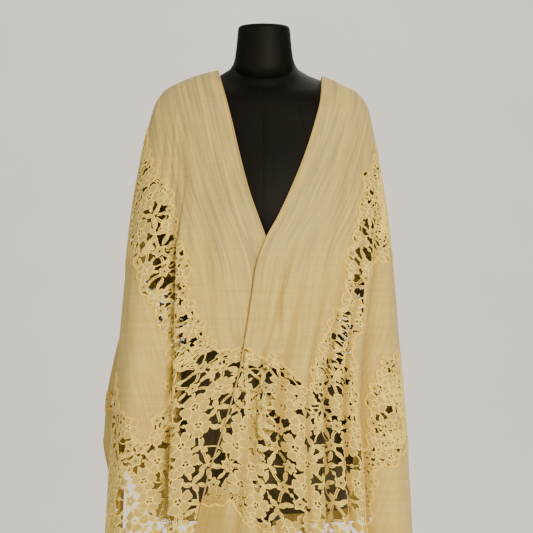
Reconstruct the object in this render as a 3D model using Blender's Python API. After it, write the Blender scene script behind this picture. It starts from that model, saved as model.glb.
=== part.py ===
"""Lace shawl draped round a tailor's dress form on a pole stand.

Metres, +Z up. The origin is on the floor, under the pole. The front of the form faces -Y.
"left" and "right" are as seen from the front: left is -X and right is +X.
The shawl is one long rectangle of gauze with lace let in. It is built as two halves, each a
family of level rings that run from the front edge round the side to the middle of the back.
"""

import math
from collections import namedtuple

import bmesh
import bpy
import numpy as np

# ---------------------------------------------------------------- driving sizes

CLOTH_WALL = 0.0015      # thickness of every cloth wall
SEAM_GAP = 0.0003        # between two pieces that meet
BASE_RADIUS = 0.165
BASE_THICK = 0.020
BASE_BEVEL = 0.004
POLE_RADIUS = 0.016
COLLAR_RADIUS = 0.034
COLLAR_HEIGHT = 0.024
FORM_FOOT = 0.600        # height of the flat underside of the torso
NECK_TOP = 1.500
NECK_BEVEL = 0.007
FORM_SIDES = 44          # facets round the torso and the neck

# ---------------------------------------------------------------- the dress form

# One level section of the form in each row. dip lowers the front of a section and rise lifts its back.
Section = namedtuple("Section", "name z half_width front back dip rise")

TORSO = (
    Section("foot", FORM_FOOT, 0.160, 0.110, 0.112, 0.00, 0.00),
    Section("seat", 0.700, 0.168, 0.114, 0.120, 0.00, 0.00),
    Section("hip", 0.800, 0.172, 0.116, 0.128, 0.00, 0.00),
    Section("high_hip", 0.870, 0.160, 0.111, 0.116, 0.00, 0.00),
    Section("under_waist", 0.930, 0.143, 0.103, 0.098, 0.00, 0.00),
    Section("waist", 0.985, 0.132, 0.098, 0.086, 0.00, 0.00),
    Section("ribs", 1.045, 0.143, 0.112, 0.094, 0.00, 0.00),
    Section("under_bust", 1.100, 0.157, 0.129, 0.106, 0.00, 0.00),
    Section("bust", 1.150, 0.166, 0.135, 0.113, 0.00, 0.00),
    Section("chest", 1.200, 0.170, 0.125, 0.116, 0.00, 0.00),
    Section("armhole", 1.250, 0.178, 0.110, 0.113, 0.00, 0.00),
    Section("upper_chest", 1.295, 0.186, 0.094, 0.106, 0.06, 0.02),
    Section("shoulder_tip", 1.333, 0.186, 0.082, 0.097, 0.14, 0.05),
    Section("shoulder_top", 1.361, 0.175, 0.074, 0.086, 0.20, 0.08),
    Section("shoulder", 1.382, 0.149, 0.066, 0.076, 0.29, 0.12),
    Section("slope", 1.394, 0.116, 0.058, 0.067, 0.38, 0.18),
    Section("neck_slope", 1.404, 0.087, 0.052, 0.059, 0.47, 0.28),
    Section("collar", 1.414, 0.066, 0.048, 0.053, 0.57, 0.45),
    Section("seam", 1.4255, 0.0580, 0.0470, 0.0500, 0.64, 0.64),
)

NECK = (
    Section("seam", 1.4265, 0.0580, 0.0470, 0.0500, 0.64, 0.64),
    Section("low", 1.440, 0.0545, 0.0455, 0.0480, 0.40, 0.40),
    Section("middle", 1.458, 0.0520, 0.0445, 0.0465, 0.15, 0.15),
    Section("top", NECK_TOP, 0.0487, 0.0435, 0.0450, 0.00, 0.00),
)

# ---------------------------------------------------------------- the shawl

# One level section of the shawl in each row: how far it stands out from the pole's axis.
Oval = namedtuple("Oval", "name z out front back")

LEFT_OVALS = (
    Oval("neck_point", 1.4175, 0.0863, 0.0180, 0.0330),
    Oval("slope", 1.4090, 0.1200, 0.0300, 0.0510),
    Oval("shoulder", 1.3980, 0.1500, 0.0430, 0.0715),
    Oval("shoulder_top", 1.3760, 0.1890, 0.0570, 0.0870),
    Oval("tip", 1.3520, 0.2045, 0.0740, 0.0965),
    Oval("upper_arm", 1.3140, 0.2160, 0.0880, 0.1050),
    Oval("chest", 1.2500, 0.2300, 0.1125, 0.1160),
    Oval("bust", 1.1500, 0.2480, 0.1390, 0.1210),
    Oval("waist", 1.0000, 0.2640, 0.1460, 0.1270),
    Oval("hip", 0.8000, 0.2800, 0.153, 0.140),
    Oval("knee_end", 0.5000, 0.2980, 0.160, 0.152),
)

RIGHT_OVALS = (
    Oval("neck_point", 1.4065, 0.1088, 0.0180, 0.0360),
    Oval("slope", 1.3990, 0.1280, 0.0300, 0.0640),
    Oval("shoulder", 1.3880, 0.1500, 0.0430, 0.0835),
    Oval("shoulder_top", 1.3740, 0.1760, 0.0570, 0.0885),
    Oval("tip", 1.3500, 0.1935, 0.0745, 0.0970),
    Oval("upper_arm", 1.3140, 0.2030, 0.0880, 0.1050),
    Oval("chest", 1.2500, 0.2140, 0.1120, 0.1160),
    Oval("bust", 1.1500, 0.2300, 0.1390, 0.1210),
    Oval("waist", 1.0000, 0.2475, 0.1460, 0.1270),
    Oval("hip", 0.8000, 0.2630, 0.153, 0.140),
    Oval("knee_end", 0.5000, 0.2800, 0.160, 0.152),
)

# Where the front edge runs, seen from the front. The right front laps over the left one.
Edge = namedtuple("Edge", "z left right")

FRONT_EDGES = (
    Edge(1.4175, -0.0863, 0.1088),
    Edge(1.4065, -0.0840, 0.1088),
    Edge(1.3610, -0.0713, 0.1055),
    Edge(1.3090, -0.0580, 0.0930),
    Edge(1.2486, -0.0440, 0.0735),
    Edge(1.1830, -0.0263, 0.0465),
    Edge(1.1400, -0.0113, 0.0263),
    Edge(1.0985, 0.0038, 0.0038),
    Edge(1.0500, 0.0190, -0.0125),
    Edge(0.9950, 0.0263, -0.0205),
    Edge(0.8770, 0.0400, -0.0390),
    Edge(0.7800, 0.0590, -0.0638),
    Edge(0.6760, 0.0720, -0.0957),
    Edge(0.5000, 0.0850, -0.1340),
)

BACK_NECK = 1.3620       # the neck edge at the middle of the back

# One long fold line in each row, from the front edge round to the middle of the back.
# The angles say where it runs, from straight ahead, at the chest, the hip and the end.
# out_* says how far it stands out of its oval, in millimetres, at four heights.
# The last five are the heights of the seams and of the free edge where they cross the line.
Fold = namedtuple(
    "Fold",
    "name chest hip end out_chest out_waist out_hip out_end yoke tongue_top tongue_foot lace_foot free_edge",
)

LEFT_FOLDS = (
    Fold("edge", 0, 0, 0, 0, -3, -7, -8, 0.905, 0.760, 0.760, 0.585, 0.500),
    Fold("under", 11, -5, -9, 0, -3, -7, -8, 0.895, 0.760, 0.760, 0.580, 0.500),
    Fold("flat_a", 15, 4, 2, 0, -1, -4, -5, 0.900, 0.760, 0.760, 0.575, 0.500),
    Fold("flat_b", 20, 12, 11, 0, 1, 0, -2, 0.886, 0.765, 0.765, 0.570, 0.500),
    Fold("flat_c", 27, 21, 20, 0, 0, -2, -2, 0.905, 0.770, 0.770, 0.570, 0.500),
    Fold("flat_d", 33, 29, 29, 0, 1, 2, 2, 0.955, 0.785, 0.785, 0.565, 0.500),
    Fold("pipe", 38, 34.5, 35, 1, 5, 7, 9, 1.040, 0.800, 0.800, 0.560, 0.500),
    Fold("valley", 42.5, 39, 39, -6, -26, -42, -48, 1.115, 0.880, 0.800, 0.560, 0.500),
    Fold("roll_in", 48, 46, 46, -1, -6, -10, -10, 1.170, 0.945, 0.785, 0.555, 0.500),
    Fold("roll", 56, 57, 57, 3, 11, 17, 20, 1.215, 1.000, 0.722, 0.550, 0.500),
    Fold("roll_out", 67, 70, 71, 1, 5, 7, 8, 1.265, 1.045, 0.785, 0.548, 0.500),
    Fold("side", 82, 85, 86, 0, 0, 0, 0, 1.300, 1.060, 0.850, 0.548, 0.500),
    Fold("side_dip", 96, 98, 99, 0, -6, -20, -26, 1.290, 1.045, 0.870, 0.690, 0.545),
    Fold("back_roll", 108, 111, 112, 0, 8, 42, 46, 1.230, 0.990, 0.905, 0.860, 0.722),
    Fold("back_dip", 119, 124, 124, 0, -8, -14, -16, 1.160, 0.930, 0.915, 0.880, 0.600),
    Fold("back_a", 130, 135, 135, 0, 5, 10, 12, 1.090, 0.905, 0.905, 0.885, 0.565),
    Fold("back_b", 141, 146, 146, 0, -5, -10, -12, 1.020, 0.870, 0.870, 0.850, 0.555),
    Fold("back_c", 153, 156, 156, 0, 4, 9, 11, 0.965, 0.840, 0.840, 0.820, 0.550),
    Fold("back_d", 166, 168, 168, 0, -3, -7, -9, 0.915, 0.815, 0.815, 0.795, 0.545),
    Fold("spine", 180, 180, 180, 0, 3, 6, 8, 0.890, 0.805, 0.805, 0.785, 0.540),
)

RIGHT_FOLDS = (
    Fold("edge", 0, 0, 0, 0, 6, 8, 9, 0.905, 0.770, 0.770, 0.612, 0.500),
    Fold("lap", 18, -9, -21, 0, 7, 9, 12, 0.890, 0.765, 0.765, 0.606, 0.500),
    Fold("crease_a", 21, -5, -12, 0, 5, 5, 4, 0.874, 0.760, 0.760, 0.600, 0.500),
    Fold("crest_a", 25, 0, -5, 0, 9, 15, 18, 0.866, 0.750, 0.750, 0.580, 0.500),
    Fold("crease_b", 30, 6, 5.5, 0, 5, 3, 1, 0.864, 0.745, 0.745, 0.560, 0.500),
    Fold("crest_b", 36, 13, 13, 0, 8, 13, 15, 0.850, 0.740, 0.740, 0.556, 0.500),
    Fold("dip_a", 41, 17, 17.5, 0, 2, 2, 1, 0.818, 0.730, 0.730, 0.550, 0.500),
    Fold("pipe", 45, 21, 21, 0, 1, 5, 7, 0.880, 0.725, 0.725, 0.545, 0.500),
    Fold("dip_b", 49, 25.5, 26, 0, -4, -8, -9, 0.930, 0.720, 0.720, 0.540, 0.500),
    Fold("crest_c", 53, 30, 33, 0, 0, 4, 6, 0.955, 0.720, 0.720, 0.540, 0.500),
    Fold("dip_c", 57, 34.5, 36.5, 0, -4, -9, -10, 0.990, 0.725, 0.725, 0.540, 0.500),
    Fold("step", 61, 38.5, 40, 0, 2, 7, 9, 1.060, 0.920, 0.745, 0.540, 0.500),
    Fold("strip", 65, 44, 44.5, 0, -6, -12, -14, 1.110, 0.945, 0.735, 0.550, 0.500),
    Fold("valley", 69, 49, 49, 0, -12, -28, -32, 1.150, 1.035, 0.735, 0.670, 0.500),
    Fold("roll", 76, 61, 61, 0, 3, 8, 10, 1.215, 1.062, 0.850, 0.668, 0.500),
    Fold("side", 87, 86, 86, 0, 0, 0, 0, 1.258, 1.070, 0.880, 0.700, 0.500),
    Fold("side_dip", 99, 99, 99, 0, -6, -18, -22, 1.250, 1.055, 0.880, 0.740, 0.535),
    Fold("back_roll", 111, 112, 112, 0, 6, 16, 18, 1.200, 0.990, 0.905, 0.850, 0.630),
    Fold("back_dip", 123, 124, 124, 0, -6, -12, -14, 1.140, 0.930, 0.915, 0.880, 0.585),
    Fold("back_a", 134, 135, 135, 0, 5, 10, 12, 1.080, 0.905, 0.905, 0.885, 0.562),
    Fold("back_b", 145, 146, 146, 0, -5, -10, -12, 1.015, 0.870, 0.870, 0.850, 0.553),
    Fold("back_c", 157, 157, 157, 0, 4, 9, 11, 0.960, 0.840, 0.840, 0.820, 0.548),
    Fold("back_d", 169, 169, 169, 0, -3, -7, -9, 0.912, 0.815, 0.815, 0.795, 0.543),
    Fold("spine", 180, 180, 180, 0, 3, 6, 8, 0.890, 0.805, 0.805, 0.785, 0.540),
)

FOLD_HEIGHTS = {"chest": 1.200, "waist": 1.000, "hip": 0.780, "end": 0.500}
FOLDS_START = 1.330      # above this height the cloth lies smooth on the shoulders

# Each band of cloth: the seam above it, the seam below it, and how many rows of facets it has.
Band = namedtuple("Band", "name top foot rows material")

BANDS = (
    Band("wool_yoke", "neck_edge", "yoke", 6, "wool"),
    Band("lace_upper", "yoke", "tongue_top", 4, "lace"),
    Band("wool_side", "tongue_top", "tongue_foot", 3, "wool"),
    Band("lace_lower", "tongue_foot", "lace_foot", 4, "lace"),
    Band("wool_hem", "lace_foot", "free_edge", 3, "wool"),
)

SEAMS = ("yoke", "tongue_top", "tongue_foot", "lace_foot", "free_edge")
THINNEST_BAND = 0.004    # a band starts and ends where it is this tall
NECK_EDGE_DROP = 0.0015  # the neck edge is cut this far below the point where the rings close up
SHOULDER_STEPS = (0, 0.10, 0.26, 0.48, 0.74, 1)  # the yoke's top rows, from the neck point to BACK_NECK
SHOULDER_FOOT = 1.338    # the next row; below it the rows are shared out evenly
FACETS_PER_FOLD = 2

MATERIALS = {
    "wool": ((0.62, 0.53, 0.34), 0.85, 0.0),
    "lace": ((0.72, 0.60, 0.33), 0.75, 0.0),
    "form_cover": ((0.020, 0.019, 0.016), 0.60, 0.0),
    "stand_metal": ((0.025, 0.025, 0.027), 0.40, 0.8),
}


# ---------------------------------------------------------------- curves

def smooth_through(stations, values, at):
    """Cubic through the values that never swings past them, held level beyond its ends."""
    order = np.argsort(stations)
    x = np.asarray(stations, float)[order]
    y = np.asarray(values, float)[order]
    at = np.clip(np.asarray(at, float), x[0], x[-1])
    step = np.diff(x)
    slope = np.diff(y) / step
    tangent = np.zeros(len(x))
    tangent[0] = slope[0]
    tangent[-1] = slope[-1]
    same_way = slope[:-1] * slope[1:] > 0
    inner = np.zeros(len(x) - 2)
    inner[same_way] = 2 / (1 / slope[:-1][same_way] + 1 / slope[1:][same_way])
    tangent[1:-1] = inner
    k = np.clip(np.searchsorted(x, at, side="right") - 1, 0, len(step) - 1)
    t = (at - x[k]) / step[k]
    return (
        y[k] * (1 + 2 * t) * (1 - t) ** 2
        + tangent[k] * step[k] * t * (1 - t) ** 2
        + y[k + 1] * t * t * (3 - 2 * t)
        - tangent[k + 1] * step[k] * t * t * (1 - t)
    )


def column(rows, name):
    return [getattr(row, name) for row in rows]


class Half:
    """One half of the shawl. A place on it is a share of the way along the fold lines, and a height."""

    def __init__(self, name, sign, ovals, folds):
        self.name = name
        self.sign = sign
        self.ovals = ovals
        self.folds = folds
        self.top = ovals[0].z
        self.shares = np.linspace(0, 1, len(folds))

    def oval(self, z):
        heights = column(self.ovals, "z")
        return [float(smooth_through(heights, column(self.ovals, n), z)) for n in ("out", "front", "back")]

    def edge_angle(self, z, out):
        """Where the front edge lies at this height, in radians from straight ahead."""
        across = float(smooth_through(column(FRONT_EDGES, "z"), column(FRONT_EDGES, self.name), z))
        return math.asin(max(-1.0, min(1.0, self.sign * across / out)))

    def back_angle(self, z, out):
        """The last angle of the ring: the middle of the back or, above it, the neck edge."""
        if z <= BACK_NECK:
            return math.pi - SEAM_GAP / 2 / out
        rise = (z - BACK_NECK) / (self.top - BACK_NECK)
        across = self.ovals[0].out * math.sqrt(max(0.0, 1 - (1 - rise) ** 2))
        return math.pi - math.asin(min(1.0, across / out))

    def ring(self, z, share):
        """The points of one level ring at these shares of the way round."""
        out, front, back = self.oval(z)
        first = self.edge_angle(z, out)
        last = self.back_angle(z, out)
        levels = [FOLD_HEIGHTS["chest"], FOLD_HEIGHTS["hip"], FOLD_HEIGHTS["end"]]
        drops = list(FOLD_HEIGHTS.values()) + [FOLDS_START]
        angles = []
        outs = []
        for fold in self.folds:
            angles.append(float(smooth_through(levels, [fold.chest, fold.hip, fold.end], z)))
            reach = [fold.out_chest, fold.out_waist, fold.out_hip, fold.out_end, 0.0]
            outs.append(float(smooth_through(drops, reach, z)) / 1000)
        angles = np.radians(angles)
        level = min(z, FOLD_HEIGHTS["chest"])
        start = self.edge_angle(level, self.oval(level)[0])
        angles[0] = start
        ways = (angles - start) / (math.pi - start)
        angle = first + (last - first) * smooth_through(self.shares, ways, share)
        lift = smooth_through(self.shares, outs, share)
        depth = np.where(np.cos(angle) > 0, front, back)
        x = self.sign * (out + lift) * np.sin(angle)
        y = -(depth + lift) * np.cos(angle)
        return np.column_stack([x, y, np.full(len(x), z)])

    def seams(self, share):
        """Heights of the seams and edges at these shares, by name. A band too short to cut has none."""
        lines = {"neck_edge": np.full(len(share), self.top)}
        above = lines["neck_edge"]
        for name in SEAMS:
            line = smooth_through(self.shares, column(self.folds, name), share)
            above = np.where(above - line < THINNEST_BAND, above, line)
            lines[name] = above
        return lines

    def points(self, share, heights):
        """Points at pairs of share and height, worked out ring by ring."""
        found = np.zeros((len(share), 3))
        for i, (s, z) in enumerate(zip(share, heights)):
            found[i] = self.ring(z, np.array([s]))[0]
        return found




# ---------------------------------------------------------------- bodies

def clear_scene():
    for thing in list(bpy.data.objects):
        bpy.data.objects.remove(thing, do_unlink=True)


def make_material(name):
    colour, roughness, metallic = MATERIALS[name]
    material = bpy.data.materials.new(name)
    material.use_nodes = True
    shader = material.node_tree.nodes["Principled BSDF"]
    shader.inputs["Base Color"].default_value = (*colour, 1.0)
    shader.inputs["Roughness"].default_value = roughness
    shader.inputs["Metallic"].default_value = metallic
    return material


def make_body(name, points, faces, material, smooth=True):
    """One closed body, named after its sub-part, with its faces turned outward."""
    mesh = bpy.data.meshes.new(name)
    mesh.from_pydata([tuple(p) for p in points], [], faces)
    work = bmesh.new()
    work.from_mesh(mesh)
    bmesh.ops.recalc_face_normals(work, faces=work.faces)
    work.to_mesh(mesh)
    work.free()
    for polygon in mesh.polygons:
        polygon.use_smooth = smooth
    mesh.materials.append(material)
    body = bpy.data.objects.new(name, mesh)
    bpy.context.collection.objects.link(body)
    return body


def loft(name, sections, material, sides=FORM_SIDES):
    """A solid through level or tilted oval sections, closed flat at both ends."""
    points = []
    faces = []
    for section in sections:
        for k in range(sides):
            angle = 2 * math.pi * k / sides
            ahead = math.cos(angle)
            depth = section.front if ahead > 0 else section.back
            lean = section.dip if ahead > 0 else section.rise
            points.append((
                section.half_width * math.sin(angle),
                -depth * ahead,
                section.z - lean * depth * ahead,
            ))
    for row in range(len(sections) - 1):
        for k in range(sides):
            a = row * sides + k
            b = row * sides + (k + 1) % sides
            faces.append((a, b, b + sides, a + sides))
    faces.append(tuple(range(sides)))
    faces.append(tuple(range((len(sections) - 1) * sides, len(sections) * sides)))
    return make_body(name, points, faces, material)


def disc_sections(radius, low, high, bevel=0.0):
    """Sections of a round solid, with both of its corners cut off when there is a bevel."""
    if bevel:
        outline = ((low, radius - bevel), (low + bevel, radius), (high - bevel, radius), (high, radius - bevel))
    else:
        outline = ((low, radius), (high, radius))
    return [Section("ring", z, r, r, r, 0.0, 0.0) for z, r in outline]


def neck_sections():
    """The neck block's sections, with its top corner rounded over."""
    top = NECK[-1]
    rounded = list(NECK[:-1])
    for turn in (0, 30, 60, 90):
        draw_in = NECK_BEVEL * (1 - math.cos(math.radians(turn)))
        z = NECK_TOP - NECK_BEVEL * (1 - math.sin(math.radians(turn)))
        rounded.append(Section(
            "top", z, top.half_width - draw_in, top.front - draw_in, top.back - draw_in, 0.0, 0.0))
    return rounded


def wall(name, half, shares, heights, material):
    """A cloth wall through a grid of places: one row of heights for each row of facets."""
    rows, columns = heights.shape
    grid = np.zeros((rows, columns, 3))
    outward = np.zeros((rows, columns, 3))
    small_share = 0.002
    small_height = 0.001
    for r in range(rows):
        for c in range(columns):
            s, z = shares[c], heights[r, c]
            pair = np.array([max(0.0, s - small_share), s, min(1.0, s + small_share)])
            here = half.ring(z, pair)
            below = half.ring(z - small_height, np.array([s]))[0]
            grid[r, c] = here[1]
            across = here[2] - here[0]
            normal = np.cross(across, here[1] - below) * half.sign
            if s == 1 and z <= BACK_NECK:
                normal[0] = 0.0
            outward[r, c] = normal / np.linalg.norm(normal)
    outer = (grid + outward * CLOTH_WALL / 2).reshape(-1, 3)
    inner = (grid - outward * CLOTH_WALL / 2).reshape(-1, 3)
    count = rows * columns
    faces = []
    for r in range(rows - 1):
        for c in range(columns - 1):
            a = r * columns + c
            b, d, e = a + 1, a + columns, a + columns + 1
            faces += [(a, d, e), (a, e, b)]
            faces += [(count + a, count + e, count + d), (count + a, count + b, count + e)]
    rim = list(range(columns))
    rim += [r * columns + columns - 1 for r in range(1, rows)]
    rim += [(rows - 1) * columns + c for c in range(columns - 2, -1, -1)]
    rim += [r * columns for r in range(rows - 2, 0, -1)]
    for edge in zip(rim, rim[1:] + rim[:1]):
        a, b = sorted(edge)
        faces += [(a, b, count + b), (a, count + b, count + a)]
    return make_body(name, np.vstack([outer, inner]), faces, material)


def band_heights(half, band, shares):
    """Heights of the rows of one band, kept half a seam gap back from the seams."""
    lines = half.seams(shares)
    top = lines[band.top]
    foot = lines[band.foot]
    ring = half.points(shares, foot)
    along = np.linalg.norm(np.diff(ring[:, :2], axis=0), axis=1)
    backs = []
    for line in (top, foot):
        slope = np.abs(np.diff(line) / along)
        steepest = np.maximum(np.append(slope, slope[-1]), np.insert(slope, 0, slope[0]))
        backs.append(SEAM_GAP / 2 * (1 + steepest))
    if band.top == "neck_edge":
        backs[0] = np.full(len(shares), NECK_EDGE_DROP)
    if band.foot == "free_edge":
        backs[1] = np.zeros(len(shares))
    top = top - backs[0]
    foot = foot + backs[1]
    if band.top != "neck_edge":
        return top, foot, top - np.linspace(0, 1, band.rows + 1)[:, None] * (top - foot)
    shoulder = [top + step * (BACK_NECK - top) for step in SHOULDER_STEPS]
    shoulder.append(np.full(len(shares), SHOULDER_FOOT))
    below = SHOULDER_FOOT - np.linspace(0, 1, band.rows + 1)[1:, None] * (SHOULDER_FOOT - foot)
    return top, foot, np.vstack([shoulder, below])


def build_shawl(materials):
    for half in (Half("left", -1, LEFT_OVALS, LEFT_FOLDS), Half("right", 1, RIGHT_OVALS, RIGHT_FOLDS)):
        shares = np.linspace(0, 1, FACETS_PER_FOLD * (len(half.folds) - 1) + 1)
        for band in BANDS:
            top, foot, heights = band_heights(half, band, shares)
            present = np.flatnonzero(top - foot >= THINNEST_BAND)
            first, last = present[0], present[-1] + 1
            wall(f"{band.name}_{half.name}", half, shares[first:last], heights[:, first:last],
                 materials[band.material])


def build_form(materials):
    cover, metal = materials["form_cover"], materials["stand_metal"]
    loft("form_torso", TORSO, cover)
    loft("form_neck", neck_sections(), cover)
    collar_foot = FORM_FOOT - SEAM_GAP - COLLAR_HEIGHT
    loft("stand_collar", disc_sections(COLLAR_RADIUS, collar_foot, FORM_FOOT - SEAM_GAP), metal, 32)
    loft("stand_pole", disc_sections(POLE_RADIUS, BASE_THICK + SEAM_GAP, collar_foot - SEAM_GAP), metal, 24)
    loft("stand_base", disc_sections(BASE_RADIUS, 0.0, BASE_THICK, BASE_BEVEL), metal, 56)


def main():
    clear_scene()
    materials = {name: make_material(name) for name in MATERIALS}
    build_form(materials)
    build_shawl(materials)


if __name__ == "__main__":
    main()
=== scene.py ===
"""Looks for the lace shawl on its dress form: cloth, lace, edging, form, stand and studio."""

import math
import random
from collections import namedtuple

import bmesh
import bpy
import numpy as np
from bpy.props import FloatProperty, FloatVectorProperty, PointerProperty
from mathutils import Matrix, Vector
from mathutils.bvhtree import BVHTree


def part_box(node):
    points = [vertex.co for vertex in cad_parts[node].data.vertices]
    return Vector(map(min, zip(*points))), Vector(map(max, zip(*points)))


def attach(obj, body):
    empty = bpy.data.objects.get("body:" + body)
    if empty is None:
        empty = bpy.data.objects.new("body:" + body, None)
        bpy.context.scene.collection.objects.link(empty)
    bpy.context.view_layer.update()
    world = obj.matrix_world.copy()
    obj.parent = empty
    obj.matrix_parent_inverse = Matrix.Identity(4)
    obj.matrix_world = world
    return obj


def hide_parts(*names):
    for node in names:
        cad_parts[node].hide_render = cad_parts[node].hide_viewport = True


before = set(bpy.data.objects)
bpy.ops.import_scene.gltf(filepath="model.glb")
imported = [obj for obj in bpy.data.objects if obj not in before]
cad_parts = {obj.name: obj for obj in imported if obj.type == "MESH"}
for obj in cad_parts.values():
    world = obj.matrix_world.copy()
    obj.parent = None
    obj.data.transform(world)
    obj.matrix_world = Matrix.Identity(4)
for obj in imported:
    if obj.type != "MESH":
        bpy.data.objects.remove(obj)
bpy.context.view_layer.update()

bl_info = {
    "name": "Lace Shawl",
    "version": (1, 0, 0),
    "blender": (4, 5, 0),
    "location": "3D View > Sidebar > Shawl",
    "description": "Dresses the form with a gauze shawl that has lace let in",
    "category": "Add Mesh",
}

# ---------------------------------------------------------------- the drape

SEAM_GAP = 0.0003
FORM_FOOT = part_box("form_torso")[0][2]
NECK_EDGE_DROP = 0.0015  # the gauze starts this far under the top ring of the drape

# One level section of the shawl in each row: how far it stands out from the pole's axis.
Oval = namedtuple("Oval", "name z out front back")

LEFT_OVALS = (
    Oval("neck_point", 1.4175, 0.0863, 0.0180, 0.0330),
    Oval("slope", 1.4090, 0.1200, 0.0300, 0.0510),
    Oval("shoulder", 1.3980, 0.1500, 0.0430, 0.0715),
    Oval("shoulder_top", 1.3760, 0.1890, 0.0570, 0.0870),
    Oval("tip", 1.3520, 0.2045, 0.0740, 0.0965),
    Oval("upper_arm", 1.3140, 0.2160, 0.0880, 0.1050),
    Oval("chest", 1.2500, 0.2300, 0.1125, 0.1160),
    Oval("bust", 1.1500, 0.2480, 0.1390, 0.1210),
    Oval("waist", 1.0000, 0.2640, 0.1460, 0.1270),
    Oval("hip", 0.8000, 0.2800, 0.153, 0.140),
    Oval("knee_end", 0.5000, 0.2980, 0.160, 0.152),
)

RIGHT_OVALS = (
    Oval("neck_point", 1.4065, 0.1088, 0.0180, 0.0360),
    Oval("slope", 1.3990, 0.1280, 0.0300, 0.0640),
    Oval("shoulder", 1.3880, 0.1500, 0.0430, 0.0835),
    Oval("shoulder_top", 1.3740, 0.1760, 0.0570, 0.0885),
    Oval("tip", 1.3500, 0.1935, 0.0745, 0.0970),
    Oval("upper_arm", 1.3140, 0.2030, 0.0880, 0.1050),
    Oval("chest", 1.2500, 0.2140, 0.1120, 0.1160),
    Oval("bust", 1.1500, 0.2300, 0.1390, 0.1210),
    Oval("waist", 1.0000, 0.2475, 0.1460, 0.1270),
    Oval("hip", 0.8000, 0.2630, 0.153, 0.140),
    Oval("knee_end", 0.5000, 0.2800, 0.160, 0.152),
)

# Where the front edge runs, seen from the front. The right front laps over the left one.
Edge = namedtuple("Edge", "z left right")

FRONT_EDGES = (
    Edge(1.4175, -0.0863, 0.1088),
    Edge(1.4065, -0.0840, 0.1088),
    Edge(1.3610, -0.0713, 0.1055),
    Edge(1.3090, -0.0580, 0.0930),
    Edge(1.2486, -0.0440, 0.0735),
    Edge(1.1830, -0.0263, 0.0465),
    Edge(1.1400, -0.0113, 0.0263),
    Edge(1.0985, 0.0038, 0.0038),
    Edge(1.0500, 0.0190, -0.0125),
    Edge(0.9950, 0.0263, -0.0205),
    Edge(0.8770, 0.0400, -0.0390),
    Edge(0.7800, 0.0590, -0.0638),
    Edge(0.6760, 0.0720, -0.0957),
    Edge(0.5000, 0.0850, -0.1340),
)

BACK_NECK = 1.3620       # the neck edge at the middle of the back

# One long fold line in each row, from the front edge round to the middle of the back.
# The angles say where it runs, from straight ahead, at the chest, the hip and the end.
# out_* says how far it stands out of its oval, in millimetres, at four heights.
# free_edge is the height of the hem where it crosses the line.
Fold = namedtuple("Fold", "name chest hip end out_chest out_waist out_hip out_end free_edge")

LEFT_FOLDS = (
    Fold("edge", 0, 0, 0, 0, -3, -7, -8, 0.500),
    Fold("under", 11, -5, -9, 0, -3, -7, -8, 0.500),
    Fold("flat_a", 15, 4, 2, 0, -1, -4, -5, 0.500),
    Fold("flat_b", 20, 12, 11, 0, 1, 0, -2, 0.500),
    Fold("flat_c", 27, 21, 20, 0, 0, -2, -2, 0.500),
    Fold("flat_d", 33, 29, 29, 0, 1, 2, 2, 0.500),
    Fold("pipe", 38, 34.5, 35, 1, 5, 7, 9, 0.500),
    Fold("valley", 42.5, 39, 39, -6, -26, -42, -48, 0.500),
    Fold("roll_in", 48, 46, 46, -1, -6, -10, -10, 0.500),
    Fold("roll", 56, 57, 57, 3, 11, 17, 20, 0.500),
    Fold("roll_out", 67, 70, 71, 1, 5, 7, 8, 0.500),
    Fold("side", 82, 85, 86, 0, 0, 0, 0, 0.500),
    Fold("side_dip", 96, 98, 99, 0, -6, -20, -26, 0.545),
    Fold("back_roll", 108, 111, 112, 0, 8, 42, 46, 0.722),
    Fold("back_dip", 119, 124, 124, 0, -8, -14, -16, 0.600),
    Fold("back_a", 130, 135, 135, 0, 5, 10, 12, 0.565),
    Fold("back_b", 141, 146, 146, 0, -5, -10, -12, 0.555),
    Fold("back_c", 153, 156, 156, 0, 4, 9, 11, 0.550),
    Fold("back_d", 166, 168, 168, 0, -3, -7, -9, 0.545),
    Fold("spine", 180, 180, 180, 0, 3, 6, 8, 0.540),
)

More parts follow.
